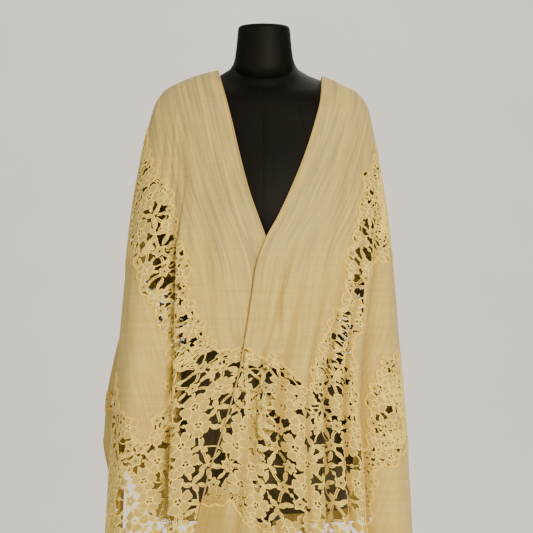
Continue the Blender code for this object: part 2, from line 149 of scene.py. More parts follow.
RIGHT_FOLDS = (
    Fold("edge", 0, 0, 0, 0, 6, 8, 9, 0.500),
    Fold("lap", 18, -9, -21, 0, 7, 9, 12, 0.500),
    Fold("crease_a", 21, -5, -12, 0, 5, 5, 4, 0.500),
    Fold("crest_a", 25, 0, -5, 0, 9, 15, 18, 0.500),
    Fold("crease_b", 30, 6, 5.5, 0, 5, 3, 1, 0.500),
    Fold("crest_b", 36, 13, 13, 0, 8, 13, 15, 0.500),
    Fold("dip_a", 41, 17, 17.5, 0, 2, 2, 1, 0.500),
    Fold("pipe", 45, 21, 21, 0, 1, 5, 7, 0.500),
    Fold("dip_b", 49, 25.5, 26, 0, -4, -8, -9, 0.500),
    Fold("crest_c", 53, 30, 33, 0, 0, 4, 6, 0.500),
    Fold("dip_c", 57, 34.5, 36.5, 0, -4, -9, -10, 0.500),
    Fold("step", 61, 38.5, 40, 0, 2, 7, 9, 0.500),
    Fold("strip", 65, 44, 44.5, 0, -6, -12, -14, 0.500),
    Fold("valley", 69, 49, 49, 0, -12, -28, -32, 0.500),
    Fold("roll", 76, 61, 61, 0, 3, 8, 10, 0.500),
    Fold("side", 87, 86, 86, 0, 0, 0, 0, 0.500),
    Fold("side_dip", 99, 99, 99, 0, -6, -18, -22, 0.535),
    Fold("back_roll", 111, 112, 112, 0, 6, 16, 18, 0.630),
    Fold("back_dip", 123, 124, 124, 0, -6, -12, -14, 0.585),
    Fold("back_a", 134, 135, 135, 0, 5, 10, 12, 0.562),
    Fold("back_b", 145, 146, 146, 0, -5, -10, -12, 0.553),
    Fold("back_c", 157, 157, 157, 0, 4, 9, 11, 0.548),
    Fold("back_d", 169, 169, 169, 0, -3, -7, -9, 0.543),
    Fold("spine", 180, 180, 180, 0, 3, 6, 8, 0.540),
)

FOLD_HEIGHTS = {"chest": 1.200, "waist": 1.000, "hip": 0.780, "end": 0.500}
FOLDS_START = 1.330      # above this height the cloth lies smooth on the shoulders


def smooth_through(stations, values, at):
    """Cubic through the values that never swings past them, held level beyond its ends."""
    order = np.argsort(stations)
    x = np.asarray(stations, float)[order]
    y = np.asarray(values, float)[order]
    at = np.clip(np.asarray(at, float), x[0], x[-1])
    step = np.diff(x)
    slope = np.diff(y) / step
    tangent = np.zeros(len(x))
    tangent[0] = slope[0]
    tangent[-1] = slope[-1]
    same_way = slope[:-1] * slope[1:] > 0
    inner = np.zeros(len(x) - 2)
    inner[same_way] = 2 / (1 / slope[:-1][same_way] + 1 / slope[1:][same_way])
    tangent[1:-1] = inner
    k = np.clip(np.searchsorted(x, at, side="right") - 1, 0, len(step) - 1)
    t = (at - x[k]) / step[k]
    return (
        y[k] * (1 + 2 * t) * (1 - t) ** 2
        + tangent[k] * step[k] * t * (1 - t) ** 2
        + y[k + 1] * t * t * (3 - 2 * t)
        - tangent[k + 1] * step[k] * t * t * (1 - t)
    )


def column(rows, name):
    return [getattr(row, name) for row in rows]


# A place on a seam: how many folds round from the front edge, and its height.
Spot = namedtuple("Spot", "fold z")


def spots(*pairs):
    return [Spot(*pair) for pair in pairs]


# The lace lies between the yoke seam and the top of the side panel, and between the foot of
# the side panel and the lace's own foot. The two bands run into one where the panel ends.
LEFT_SEAMS = {
    "yoke": spots(
        (-1, 0.915), (2.06, 0.921), (2.5, 0.896), (3.45, 0.899), (3.97, 0.912), (4.4, 0.95), (4.75, 0.975),
        (5.15, 0.985), (5.3, 1.04), (5.4, 1.08), (7.0, 1.10), (7.35, 1.143), (7.65, 1.18), (8.0, 1.197),
        (8.7, 1.212), (9.1, 1.21), (9.7, 1.25), (10.4, 1.273), (10.75, 1.308), (11.5, 1.29), (11.9, 1.22),
        (12.2, 1.09), (13, 1.05), (13.8, 1.03), (14.4, 0.99), (15.2, 1.0), (16, 0.965), (16.8, 0.97),
        (17.4, 0.925), (18.2, 0.915), (19, 0.885), (20, 0.885),
    ),
    "side_top": spots(
        (20, 0.80), (18.4, 0.80), (17.6, 0.83), (16.6, 0.845), (15.6, 0.89), (14.6, 0.91), (13.6, 0.94),
        (12.8, 0.945), (12, 1.02), (11, 1.055), (10.48, 1.063), (9.62, 1.053), (8.95, 1.035), (8.84, 1.0),
        (8.3, 0.99), (8.1, 0.965), (8.1, 0.942), (7.72, 0.938), (7.62, 0.92), (7.5, 0.80), (7.3, 0.77),
        (6, 0.75), (-1, 0.74),
    ),
    "side_foot": spots(
        (-1, 0.84), (7.3, 0.84), (7.55, 0.803), (7.7, 0.778), (8.05, 0.772), (8.14, 0.73), (8.4, 0.724),
        (8.68, 0.742), (8.74, 0.766), (9.3, 0.779), (9.9, 0.792), (10.44, 0.833), (11, 0.852), (12, 0.868),
        (12.5, 0.80), (13.4, 0.80), (13.8, 0.93), (20, 0.90),
    ),
    "lace_foot": spots(
        (20, 0.775), (18, 0.79), (17, 0.82), (16, 0.85), (15, 0.875), (13.9, 0.88), (13.4, 0.78),
        (12.5, 0.78), (12.2, 0.66), (11, 0.56), (9.4, 0.545), (7, 0.56), (4, 0.57), (-1, 0.58),
    ),
}

RIGHT_SEAMS = {
    "yoke": spots(
        (-1, 0.905), (0.1, 0.900), (0.95, 0.886), (1.8, 0.874), (2.3, 0.886), (2.9, 0.888), (3.63, 0.880),
        (4.14, 0.864), (4.7, 0.850), (5.1, 0.842), (5.3, 0.829), (6.2, 0.822), (6.5, 0.84), (6.3, 0.868),
        (7.1, 0.892), (7.2, 0.93), (7.5, 0.962), (8.9, 0.978), (8.4, 1.035), (7.9, 1.083), (8.8, 1.092),
        (8.9, 1.15), (9.9, 1.165), (9.95, 1.20), (11.6, 1.222), (13.4, 1.25), (14.3, 1.272), (15.3, 1.26),
        (15.8, 1.19), (16.3, 1.09), (17.2, 1.06), (18, 1.01), (18.8, 1.015), (19.6, 0.975), (20.4, 0.98),
        (21.2, 0.94), (22, 0.925), (23, 0.885), (24, 0.885),
    ),
    "side_top": spots(
        (24, 0.80), (22.4, 0.80), (21.4, 0.83), (20.4, 0.85), (19.4, 0.90), (18.4, 0.915), (17.4, 0.96),
        (16.6, 0.98), (15.6, 1.05), (14.73, 1.09), (14.2, 1.09), (13.7, 1.066), (13.0, 1.064), (12, 1.05),
        (11.5, 1.035), (10.85, 1.02), (11.2, 0.95), (11.5, 0.932), (10.3, 0.923), (10.3, 0.90), (9.9, 0.74),
        (8, 0.70), (-1, 0.70),
    ),
    "side_foot": spots(
        (-1, 0.82), (9, 0.82), (10.2, 0.915), (10.4, 0.90), (10.75, 0.84), (10.85, 0.78), (10.95, 0.735),
        (12.6, 0.705), (13.15, 0.70), (13.35, 0.735), (13.4, 0.83), (13.6, 0.836), (13.6, 0.856),
        (13.75, 0.876), (14.6, 0.884), (16, 0.885), (16.6, 0.84), (17.4, 0.84), (17.8, 0.93), (24, 0.90),
    ),
    "lace_foot": spots(
        (24, 0.775), (22, 0.79), (21, 0.82), (20, 0.85), (19, 0.875), (17.9, 0.88), (17.4, 0.82),
        (16.6, 0.82),
        (15.8, 0.74), (14.9, 0.715), (14.3, 0.708), (14.04, 0.694), (13.6, 0.692), (13.42, 0.672),
        (13.2, 0.60), (12.6, 0.54), (9, 0.535), (6, 0.55), (3.7, 0.578), (3.1, 0.592), (2.4, 0.594),
        (2.04, 0.613), (1.8, 0.631), (0.95, 0.632), (0.4, 0.624), (-1, 0.63),
    ),
}

# ---------------------------------------------------------------- the cloth surface

LEVEL_STEP = 0.0035      # height between two rows of the drape table
ROW_STEP = 0.0036        # size of a cloth facet
LOWEST = 0.47
SEAM_STEP = 0.010        # length of the straight bits that a seam is made of
FOLD_SPAN = 0.03         # cloth that one step of the fold count takes up
TOP_TRIM = 0.0004        # the first ring lies this far under the neck point
SHOULDER_RINGS = 26      # rings above the folds, closer together towards the top
GUESS_HEIGHT = 0.9       # the ring that sets how wide the columns of the table are
GUESS_POINTS = 400

# A small crease pressed into the cloth: from one place to another, depth outward in millimetres.
Crease = namedtuple("Crease", "half top_share top_z foot_share foot_z depth width")

CREASES = (
    Crease("right", 0.058, 0.985, 0.165, 0.480, -9.5, 9),
    Crease("right", 0.016, 0.930, 0.066, 0.480, -7.5, 8),
    Crease("right", 0.105, 0.960, 0.205, 0.480, 5.0, 14),
    Crease("right", 0.010, 1.100, 0.085, 0.860, 6.0, 17),
    Crease("right", 0.022, 1.100, 0.158, 0.870, -3.5, 6),
    Crease("right", 0.175, 1.120, 0.235, 0.800, 3.5, 16),
    Crease("right", 0.250, 1.300, 0.240, 1.000, -2.5, 18),
    Crease("right", 0.330, 1.340, 0.300, 1.100, 2.5, 14),
    Crease("left", 0.30, 1.345, 0.33, 1.080, -5.0, 17),
    Crease("left", 0.36, 1.350, 0.37, 1.060, 3.0, 9),
    Crease("left", 0.25, 1.250, 0.25, 0.960, 2.5, 12),
    Crease("left", 0.20, 1.200, 0.19, 0.930, -2.5, 14),
    Crease("left", 0.145, 0.935, 0.115, 0.870, -3.5, 6),
    Crease("left", 0.34, 1.330, 0.40, 1.050, -3.0, 7),
    Crease("left", 0.39, 1.300, 0.43, 1.020, -2.6, 6),
    Crease("left", 0.30, 1.250, 0.37, 0.980, -2.4, 7),
    Crease("left", 0.44, 1.310, 0.47, 1.080, -2.2, 6),
    Crease("left", 0.52, 1.240, 0.50, 0.900, 3.0, 12),
    Crease("left", 0.46, 0.660, 0.47, 0.500, -12.0, 10),
    Crease("left", 0.13, 0.930, 0.09, 0.870, -3.0, 8),
    Crease("left", 0.62, 1.250, 0.66, 0.900, -3.5, 14),
    Crease("left", 0.75, 1.300, 0.78, 0.900, -3.0, 16),
    Crease("left", 0.88, 1.320, 0.90, 0.950, -2.5, 15),
    Crease("right", 0.40, 1.320, 0.44, 1.000, -2.5, 9),
    Crease("right", 0.52, 1.320, 0.53, 1.050, -2.5, 8),
    Crease("right", 0.26, 1.250, 0.33, 0.980, -2.0, 10),
    Crease("right", 0.60, 1.280, 0.62, 0.950, 2.5, 12),
    Crease("right", 0.63, 1.150, 0.65, 0.700, -3.0, 10),
    Crease("right", 0.76, 1.300, 0.78, 0.900, -3.0, 16),
    Crease("right", 0.88, 1.320, 0.90, 0.950, -2.5, 15),
)


def distances(points):
    """Lengths of the steps between points along the last axis but one."""
    return np.linalg.norm(np.diff(points, axis=-2), axis=-1)


class HalfCloth:
    """One half of the shawl as a table of level rings, from its front edge round to the spine."""

    def __init__(self, name, sign, ovals, folds, seams):
        self.name = name
        self.sign = sign
        self.ovals = ovals
        self.folds = folds
        self.seams = seams
        self.top = ovals[0].z
        self.knots = np.linspace(0, 1, len(folds))
        down = np.linspace(0, 1, SHOULDER_RINGS) ** 1.5
        shoulder = self.top - TOP_TRIM - down * (self.top - TOP_TRIM - FOLDS_START)
        self.levels = np.concatenate([shoulder, np.arange(FOLDS_START - LEVEL_STEP, LOWEST, -LEVEL_STEP)])
        even = np.linspace(0, 1, GUESS_POINTS)
        along = np.concatenate([[0], np.cumsum(distances(self.ring(GUESS_HEIGHT, even)))])
        count = int(along[-1] / ROW_STEP)
        self.shares = np.interp(np.linspace(0, along[-1], count), along, even)
        self.table = np.array([self.ring(z, self.shares) for z in self.levels])
        self.press_creases()
        steps = distances(self.table)
        from_spine = np.cumsum(steps[:, ::-1], axis=1)[:, ::-1]
        from_spine = np.concatenate([from_spine, np.zeros((len(self.levels), 1))], axis=1)
        self.reach = self.sign * (from_spine + np.abs(self.table[:, -1, 0])[:, None])
        self.normals = self.find_normals()
        self.valley = self.find_valleys()

    def oval(self, z):
        heights = column(self.ovals, "z")
        return [float(smooth_through(heights, column(self.ovals, n), z)) for n in ("out", "front", "back")]

    def edge_angle(self, z, out):
        across = float(smooth_through(column(FRONT_EDGES, "z"), column(FRONT_EDGES, self.name), z))
        return math.asin(max(-1.0, min(1.0, self.sign * across / out)))

    def back_angle(self, z, out):
        if z <= BACK_NECK:
            return math.pi - SEAM_GAP / 2 / out
        rise = (z - BACK_NECK) / (self.top - BACK_NECK)
        across = self.ovals[0].out * math.sqrt(max(0.0, 1 - (1 - rise) ** 2))
        return math.pi - math.asin(min(1.0, across / out))

    def ring(self, z, share):
        out, front, back = self.oval(z)
        first = self.edge_angle(z, out)
        last = self.back_angle(z, out)
        levels = [FOLD_HEIGHTS["chest"], FOLD_HEIGHTS["hip"], FOLD_HEIGHTS["end"]]
        drops = list(FOLD_HEIGHTS.values()) + [FOLDS_START]
        angles = []
        outs = []
        for fold in self.folds:
            angles.append(float(smooth_through(levels, [fold.chest, fold.hip, fold.end], z)))
            reach = [fold.out_chest, fold.out_waist, fold.out_hip, fold.out_end, 0.0]
            outs.append(float(smooth_through(drops, reach, z)) / 1000)
        angles = np.radians(angles)
        level = min(z, FOLD_HEIGHTS["chest"])
        start = self.edge_angle(level, self.oval(level)[0])
        angles[0] = start
        ways = (angles - start) / (math.pi - start)
        angle = first + (last - first) * smooth_through(self.knots, ways, share)
        lift = smooth_through(self.knots, outs, share)
        depth = np.where(np.cos(angle) > 0, front, back)
        x = self.sign * (out + lift) * np.sin(angle)
        y = -(depth + lift) * np.cos(angle)
        return np.column_stack([x, y, np.full(len(x), z)])

    def find_normals(self):
        across = np.gradient(self.table, axis=1)
        down = np.gradient(self.table, axis=0)
        normals = np.cross(down, across) * self.sign
        return normals / np.maximum(np.linalg.norm(normals, axis=2), 1e-12)[..., None]

    def find_valleys(self):
        """How far down in a fold each place lies: 1 in a valley, 0 on the flat, -1 on a crest. The materials
        paint shade into the folds from it.
        """
        bend = np.zeros(self.table.shape[:2])
        for reach in (2, 4, 7):
            middle = (np.roll(self.table, reach, axis=1) + np.roll(self.table, -reach, axis=1)) / 2
            bend += ((middle - self.table) * self.normals).sum(axis=2) / (0.0011 * reach)
        bend[:, :8] = bend[:, 8:9]
        bend[:, -8:] = bend[:, -9:-8]
        return np.tanh(bend / 3)

    def press_creases(self):
        normals = self.find_normals()
        levels = self.levels[:, None]
        for crease in CREASES:
            if crease.half != self.name:
                continue
            way = np.clip((crease.top_z - levels) / (crease.top_z - crease.foot_z), 0, 1)
            middle = crease.top_share + way * (crease.foot_share - crease.top_share)
            ring_length = distances(self.table).sum(axis=1)[:, None]
            aside = (self.shares[None, :] - middle) * ring_length
            fade = np.sin(math.pi * way) ** 0.7
            if crease.foot_z <= 0.5:
                fade = np.sin(math.pi / 2 * way) ** 0.7
            push = crease.depth / 1000 * fade * np.exp(-(aside / (crease.width / 1000)) ** 2)
            self.table = self.table + normals * push[..., None]

    def share_at(self, reach, z):
        """The share at these distances from the spine, ring by ring; outside the cloth it is nan."""
        share = np.full(len(reach), np.nan)
        position = np.interp(-z, -self.levels, np.arange(len(self.levels)))
        row = np.clip(position.astype(int), 0, len(self.levels) - 2)
        for k in np.unique(row):
            here = np.flatnonzero(row == k)
            part = position[here] - k
            ask = reach[here] * self.sign
            found = [
                np.interp(ask, self.reach[r, ::-1] * self.sign, self.shares[::-1], left=1.0, right=np.nan)
                for r in (k, k + 1)
            ]
            share[here] = (1 - part) * found[0] + part * found[1]
        return share

    def sample(self, source, share, z):
        """Values of a table of the cloth at places between its rows and columns."""
        row = np.interp(-z, -self.levels, np.arange(len(self.levels)))
        col = np.interp(share, self.shares, np.arange(len(self.shares)))
        r = np.clip(row.astype(int), 0, len(self.levels) - 2)
        c = np.clip(col.astype(int), 0, len(self.shares) - 2)
        a, b = row - r, col - c
        if source.ndim == 3:
            a, b = a[:, None], b[:, None]
        return (
            (1 - a) * ((1 - b) * source[r, c] + b * source[r, c + 1])
            + a * ((1 - b) * source[r + 1, c] + b * source[r + 1, c + 1])
        )

    def place(self, share, z, out=0.0):
        """Points on the cloth, moved out along its normal."""
        spot = self.sample(self.table, share, z)
        normal = self.sample(self.normals, share, z)
        normal /= np.maximum(np.linalg.norm(normal, axis=1), 1e-9)[:, None]
        return spot + normal * (np.asarray(out) * np.ones(len(spot)))[:, None], normal

    def hem(self, share):
        return smooth_through(self.knots, column(self.folds, "free_edge"), share)

    def flat_line(self, name):
        """A seam in the flat: distances from the spine and heights, close together."""
        last = len(self.folds) - 1
        line = []
        for first, second in zip(self.seams[name], self.seams[name][1:]):
            apart = math.hypot((second.fold - first.fold) * FOLD_SPAN, second.z - first.z)
            count = 1 + int(apart / SEAM_STEP)
            for way in np.linspace(0, 1, count, endpoint=False):
                line.append([a + way * (b - a) for a, b in zip(first, second)])
        line.append(self.seams[name][-1])
        line = np.array(line, float)
        share = np.clip(line[:, 0] / last, 0, 1)
        beyond = np.minimum(line[:, 0], 0) + np.maximum(line[:, 0] - last, 0)
        reach = self.sample(self.reach, share, line[:, 1]) - self.sign * beyond * FOLD_SPAN
        return np.column_stack([reach, line[:, 1]])


# ---------------------------------------------------------------- lace or plain cloth

SEAMS = ("yoke", "side_top", "side_foot", "lace_foot")
TIE_EVERY = 2            # every second place on a seam gets a short bar
BLOCK = 6000             # places measured at a time, to spare memory


def signed_distance(places, outline):
    """How far each place in the flat is from a closed outline; negative inside it."""
    ahead = np.roll(outline, -1, axis=0) - outline
    length = np.maximum((ahead ** 2).sum(axis=1), 1e-12)
    rise = np.where(np.abs(ahead[:, 1]) < 1e-9, 1e-9, ahead[:, 1])
    result = np.empty(len(places))
    for low in range(0, len(places), BLOCK):
        some = places[low:low + BLOCK]
        gap = some[:, None, :] - outline[None]
        way = np.clip((gap * ahead).sum(axis=2) / length, 0, 1)
        away = np.sqrt(((gap - way[..., None] * ahead) ** 2).sum(axis=2).min(axis=1))
        below = outline[:, 1] > some[:, 1:]
        crosses = below != (np.roll(outline[:, 1], -1) > some[:, 1:])
        where = outline[:, 0] + (some[:, 1:] - outline[:, 1]) / rise * ahead[:, 0]
        inside = (crosses & (some[:, :1] < where)).sum(axis=1) % 2 == 1
        result[low:low + BLOCK] = np.where(inside, -away, away)
    return result


class LacePlan:
    """Where the lace is let in: two bands between seams, widened by the motifs that lie on them."""

    def __init__(self, half):
        self.half = half
        self.motifs = []
        line = half.flat_line
        self.upper = np.vstack([line("yoke"), line("side_top")])
        self.lower = np.vstack([line("side_foot"), line("lace_foot")])

    def depth(self, places):
        """Negative inside the lace bands, positive on plain cloth, in metres from the seam."""
        return np.minimum(signed_distance(places, self.upper), signed_distance(places, self.lower))

    def inward(self, place):
        """The flat direction that leads from a seam into the lace."""
        step = 0.004
        around = place + np.array([(step, 0), (-step, 0), (0, step), (0, -step)])
        east, west, north, south = self.depth(around)
        slope = np.array([west - east, south - north])
        return slope / max(np.linalg.norm(slope), 1e-9)

    def depth_with_motifs(self, places):
        depth = self.depth(places)
        for motif in self.motifs:
            gap = places - (motif.reach, motif.z)
            near = np.flatnonzero(np.abs(gap).max(axis=1) < motif.radius * 1.3)
            if len(near):
                away = np.hypot(gap[near, 0], gap[near, 1])
                turn = np.arctan2(gap[near, 1], gap[near, 0]) - motif.turn
                lobes = 0.84 + 0.16 * np.abs(np.cos(motif.petals / 2 * turn))
                depth[near] = np.minimum(depth[near], away - motif.radius * lobes)
        return depth


Motif = namedtuple("Motif", "kind reach z turn radius petals")

LACE_PITCH = 0.040       # between the middles of two neighbouring motifs
FLOWER_RADIUS = 0.0235
STAR_RADIUS = 0.0130
LEAVES_RADIUS = 0.0100
PETAL_POINTS = 14
NET_TOP = 1.42           # the net of motifs starts at this height
NET_COLUMNS = 22         # motifs across the net, to each side of the spine
SEARCH_TOP = 1.40        # wide holes are looked for from here down, this far to each side, in such steps
SEARCH_REACH = 0.75
SEARCH_STEP = 0.007
FILL_SHARE = 0.62        # a filling motif takes this share of the room
HOLE = 0.019             # the widest hole that the lace leaves open
CLOSE_HOLE = 0.0095      # the same behind another layer: under the lap and at the back
BACK_SHARE = 0.56        # from this share of the way round the lace lies at the back
LAP_ROUND = 0.92         # the way round one half at the height of the lap, in metres
SCALLOPS = (0.0185, 0.0110, 0.0150, 0.0120)  # radii of the motifs along a seam, in turn
LEAF_LENGTH = 0.021
LACE_LIFT = 0.0012       # how far the lace stands proud of the gauze
CORD_HALF = 0.00105


def smooth_outline(points):
    """Corner cutting round a closed outline."""
    points = np.asarray(points, float)
    following = np.roll(points, -1, axis=0)
    both = np.stack([0.75 * points + 0.25 * following, 0.25 * points + 0.75 * following], 1)
    return both.reshape(-1, 2)


def circle_points(radius, count):
    turns = np.linspace(0, 2 * math.pi, count + 1)[:-1]
    return np.column_stack([np.cos(turns), np.sin(turns)]) * radius


class Patch:
    """Flat lace work in the making: places, their height above the net, and whether they are cord."""

    def __init__(self):
        self.places = []
        self.heights = []
        self.cord = []
        self.faces = []

    def add(self, places, heights, cord, faces):
        start = len(self.places)
        self.places += [tuple(p) for p in places]
        self.heights += list(heights)
        self.cord += [cord] * len(places)
        self.faces += [tuple(start + i for i in face) for face in faces]

    def fill(self, outline, puff=0.0006):
        middle = outline.mean(axis=0)
        count = len(outline)
        faces = [(i, (i + 1) % count, count) for i in range(count)]
        self.add(list(outline) + [middle], [0.0] * count + [puff], 0.0, faces)

    def ring_fill(self, inner, outer):
        count = len(outer)
        faces = [(i, (i + 1) % count, count + (i + 1) % count, count + i) for i in range(count)]
        self.add(list(outer) + list(inner), [0.0] * (2 * count), 0.0, faces)

    def line(self, points, half=CORD_HALF, closed=False, lift=0.0009):
        """A raised cord along a line: two slopes that meet in a ridge."""
        points = np.asarray(points, float)
        if closed:
            ahead = np.roll(points, -1, axis=0) - np.roll(points, 1, axis=0)
        else:
            ahead = np.gradient(points, axis=0)
        ahead /= np.maximum(np.linalg.norm(ahead, axis=1), 1e-9)[:, None]
        aside = np.column_stack([-ahead[:, 1], ahead[:, 0]]) * half
        count = len(points)
        places = list(points + aside) + list(points) + list(points - aside)
        heights = [0.0001] * count + [lift] * count + [0.0001] * count
        faces = []
        for i in range(count if closed else count - 1):
            j = (i + 1) % count
            faces += [(i, count + i, count + j, j), (count + i, 2 * count + i, 2 * count + j, count + j)]
        self.add(places, heights, 1.0, faces)


def turned(points, angle, scale=1.0, shift=(0.0, 0.0)):
    c, s = math.cos(angle), math.sin(angle)
    points = np.asarray(points, float) * scale
    return np.column_stack([points[:, 0] * c - points[:, 1] * s, points[:, 0] * s + points[:, 1] * c]) + shift


def petal_outline(radius, count, draw):
    """A broad rounded petal that points along x and overlaps the next one a little."""
    half_width = math.sin(math.pi / count) * 0.66 * radius * draw.uniform(0.92, 1.12)
    long = radius * draw.uniform(0.90, 1.10)
    lean = draw.uniform(-0.10, 0.10)
    points = []
    for turn in np.linspace(0, 2 * math.pi, PETAL_POINTS, endpoint=False):
        notch = 1 - sum(0.16 * math.exp(-((turn - tip) / 0.30) ** 2) for tip in (0, 2 * math.pi))
        ahead, aside = math.cos(turn), math.sin(turn)
        along = 0.62 + 0.38 * math.copysign(abs(ahead) ** 0.75, ahead) * notch
        across = half_width * math.copysign(abs(aside) ** 0.70, aside) * (0.52 + 0.72 * along)
        points.append((along * long, across + lean * along * half_width))
    return np.array(points)


def draw_flower(patch, motif, draw):
    count = motif.petals
    middle = (motif.reach, motif.z)
    for k in range(count):
        angle = motif.turn + 2 * math.pi * k / count + draw.uniform(-0.05, 0.05)
        outline = turned(petal_outline(motif.radius, count, draw), angle, 1.0, middle)
        patch.fill(outline)
        patch.line(outline, closed=True, half=0.0008)
    holes = 3 if motif.radius > 0.014 else 0
    for k in range(holes):
        angle = motif.turn + 2 * math.pi * (k + 0.3) / holes
        bar = turned([(way * motif.radius, 0) for way in (0.05, 0.20, 0.34)], angle)
        patch.line(bar + middle, half=0.0013)
    circle = circle_points(1.0, 9)
    patch.line(circle * 0.32 * motif.radius + middle, closed=True)
    patch.fill(circle * 0.12 * motif.radius + middle, 0.0012)


def draw_star(patch, motif, draw):
    points = []
    for k in range(2 * motif.petals):
        angle = motif.turn + math.pi * k / motif.petals
        away = motif.radius * (draw.uniform(0.92, 1.12) if k % 2 == 0 else 0.50)
        points.append((away * math.cos(angle), away * math.sin(angle)))
    outline = smooth_outline(points) + (motif.reach, motif.z)
    count = len(outline)
    turns = motif.turn + np.arange(count) / count * 2 * math.pi
    inner = np.column_stack([np.cos(turns), np.sin(turns)]) * 0.14 * motif.radius + (motif.reach, motif.z)
    patch.ring_fill(inner, outline)
    patch.line(outline, closed=True)


# Half a leaf of length 1, from its stalk to its tip: along it and out from its rib.
LEAF_SIDE = ((-0.32, 0.13), (-0.05, 0.21), (0.22, 0.17))
LEAF = ((-0.5, 0.0), *LEAF_SIDE, (0.5, 0.0), *((x, -y) for x, y in reversed(LEAF_SIDE)))


def draw_leaf(patch, middle, angle, length, width=1.0):
    outline = turned([(x, y * width) for x, y in LEAF], angle, length, middle)
    patch.fill(outline)
    patch.line(outline, closed=True, half=0.0007)
    rib = turned([(-0.5, 0), (0, 0.01), (0.5, 0)], angle, length, middle)
    patch.line(rib, half=0.0005, lift=0.0011)


def draw_bar(patch, start, end, draw, kind):
    """The little bars that hold two motifs together."""
    start, end = np.asarray(start, float), np.asarray(end, float)
    ahead = end - start
    length = np.linalg.norm(ahead)
    if length < 0.002:
        return
    aside = np.array([-ahead[1], ahead[0]]) / length
    bow = draw.uniform(-0.12, 0.12) * length
    ways = np.linspace(0, 1, 5)
    middle = start + ways[:, None] * ahead + (np.sin(math.pi * ways) * bow)[:, None] * aside
    if kind == "double":
        for side in (-1, 1):
            patch.line(middle + aside * side * 0.0017, half=0.0008)
        for way in (1, 2, 3):
            patch.line([middle[way] - aside * 0.0017, middle[way] + aside * 0.0017], half=0.0006)
    elif kind == "leaf":
        patch.line(middle, half=0.0009)
        draw_leaf(patch, middle[2], math.atan2(ahead[1], ahead[0]) + draw.uniform(-0.3, 0.3),
                  min(LEAF_LENGTH, 1.05 * length), 0.9)
    elif kind == "loop":
        patch.line(middle, half=0.0008)
        patch.line(circle_points(0.0027, 8) + middle[2], closed=True, half=0.0008)
    else:
        patch.line(middle, half=0.0011)


def scallop_seams(plans):
    """Motifs along every seam between lace and plain cloth, set a little into the lace."""
    draw = random.Random(7)
    for plan in plans:
        for name in SEAMS:
            line = plan.half.flat_line(name)
            depth = plan.depth(line)
            gap, turn_number = 0.0, draw.randrange(4)
            for before, place, off in zip(line, line[1:], depth[1:]):
                gap += np.linalg.norm(place - before)
                radius = SCALLOPS[turn_number % 4] * draw.uniform(0.9, 1.1)
                if off < -0.002 or gap < 1.9 * radius:
                    continue
                share = plan.half.share_at(place[:1], place[1:])[0]
                if not np.isfinite(share) or not 0.004 < share < 0.998:
                    continue
                if place[1] < plan.half.hem(share) + 0.012:
                    continue
                middle = place + plan.inward(place) * radius * draw.uniform(0.3, 0.6)
                close = [m for m in plan.motifs
                         if math.hypot(m.reach - middle[0], m.z - middle[1]) < 0.85 * (m.radius + radius)]
                if close:
                    continue
                kind = "flower" if turn_number % 2 == 0 else "star"
                plan.motifs.append(Motif(kind, middle[0], middle[1], draw.uniform(0, 6.28), radius,
                                         draw.choice((5, 6))))
                gap = 0.0
                turn_number += 1


def lay_motifs(plans):
    """All motifs: those along the seams, and a staggered net of them inside the lace."""
    scallop_seams(plans)
    draw = random.Random(11)
    motifs = [motif for plan in plans for motif in plan.motifs]
    seam_count = len(motifs)
    row_height = LACE_PITCH * math.sqrt(3) / 2
    for row in range(int((NET_TOP - LOWEST) / row_height) + 1):
        for col in range(-NET_COLUMNS, NET_COLUMNS + 1):
            reach = (col + 0.5 * (row % 2)) * LACE_PITCH + draw.uniform(-1, 1) * 0.0035
            z = NET_TOP - row * row_height + draw.uniform(-1, 1) * 0.003
            turn = draw.uniform(0, 2 * math.pi)
            size = draw.uniform(0.94, 1.07)
            petals = draw.choice((5, 5, 6))
            kind = ("flower", "star", "leaves")[(col - (row + 1) // 2 + 2 * row) % 3]
            radius = {"flower": FLOWER_RADIUS, "star": STAR_RADIUS, "leaves": LEAVES_RADIUS}[kind] * size
            plan = plans[0 if reach < 0 else 1]
            if not LOWEST < z < plan.half.top - 0.01:
                continue
            share = plan.half.share_at(np.array([reach]), np.array([z]))[0]
            if not np.isfinite(share) or z < plan.half.hem(share) + 0.004:
                continue
            room = -plan.depth(np.array([(reach, z)]))[0]
            others = [math.hypot(m.reach - reach, m.z - z) - m.radius * 0.9 for m in motifs[:seam_count]]
            free = min([room] + others)
            if free < 0.55 * radius:
                if free < 0.0075:
                    continue
                kind, radius = ("star", 0.9 * free) if free > 0.009 else ("leaves", 0.007)
            motifs.append(Motif(kind, reach, z, turn, radius, petals))
    fill_holes(plans, motifs, draw)
    return motifs


def hole_limit(half, share, z):
    """The widest hole left open at a place, smaller where another layer covers it."""
    heights = [edge.z for edge in FRONT_EDGES][::-1]
    laps = [edge.left - edge.right for edge in FRONT_EDGES][::-1]
    under_lap = half.sign < 0 and share < np.interp(z, heights, laps) / LAP_ROUND
    return CLOSE_HOLE if share > BACK_SHARE or under_lap else HOLE


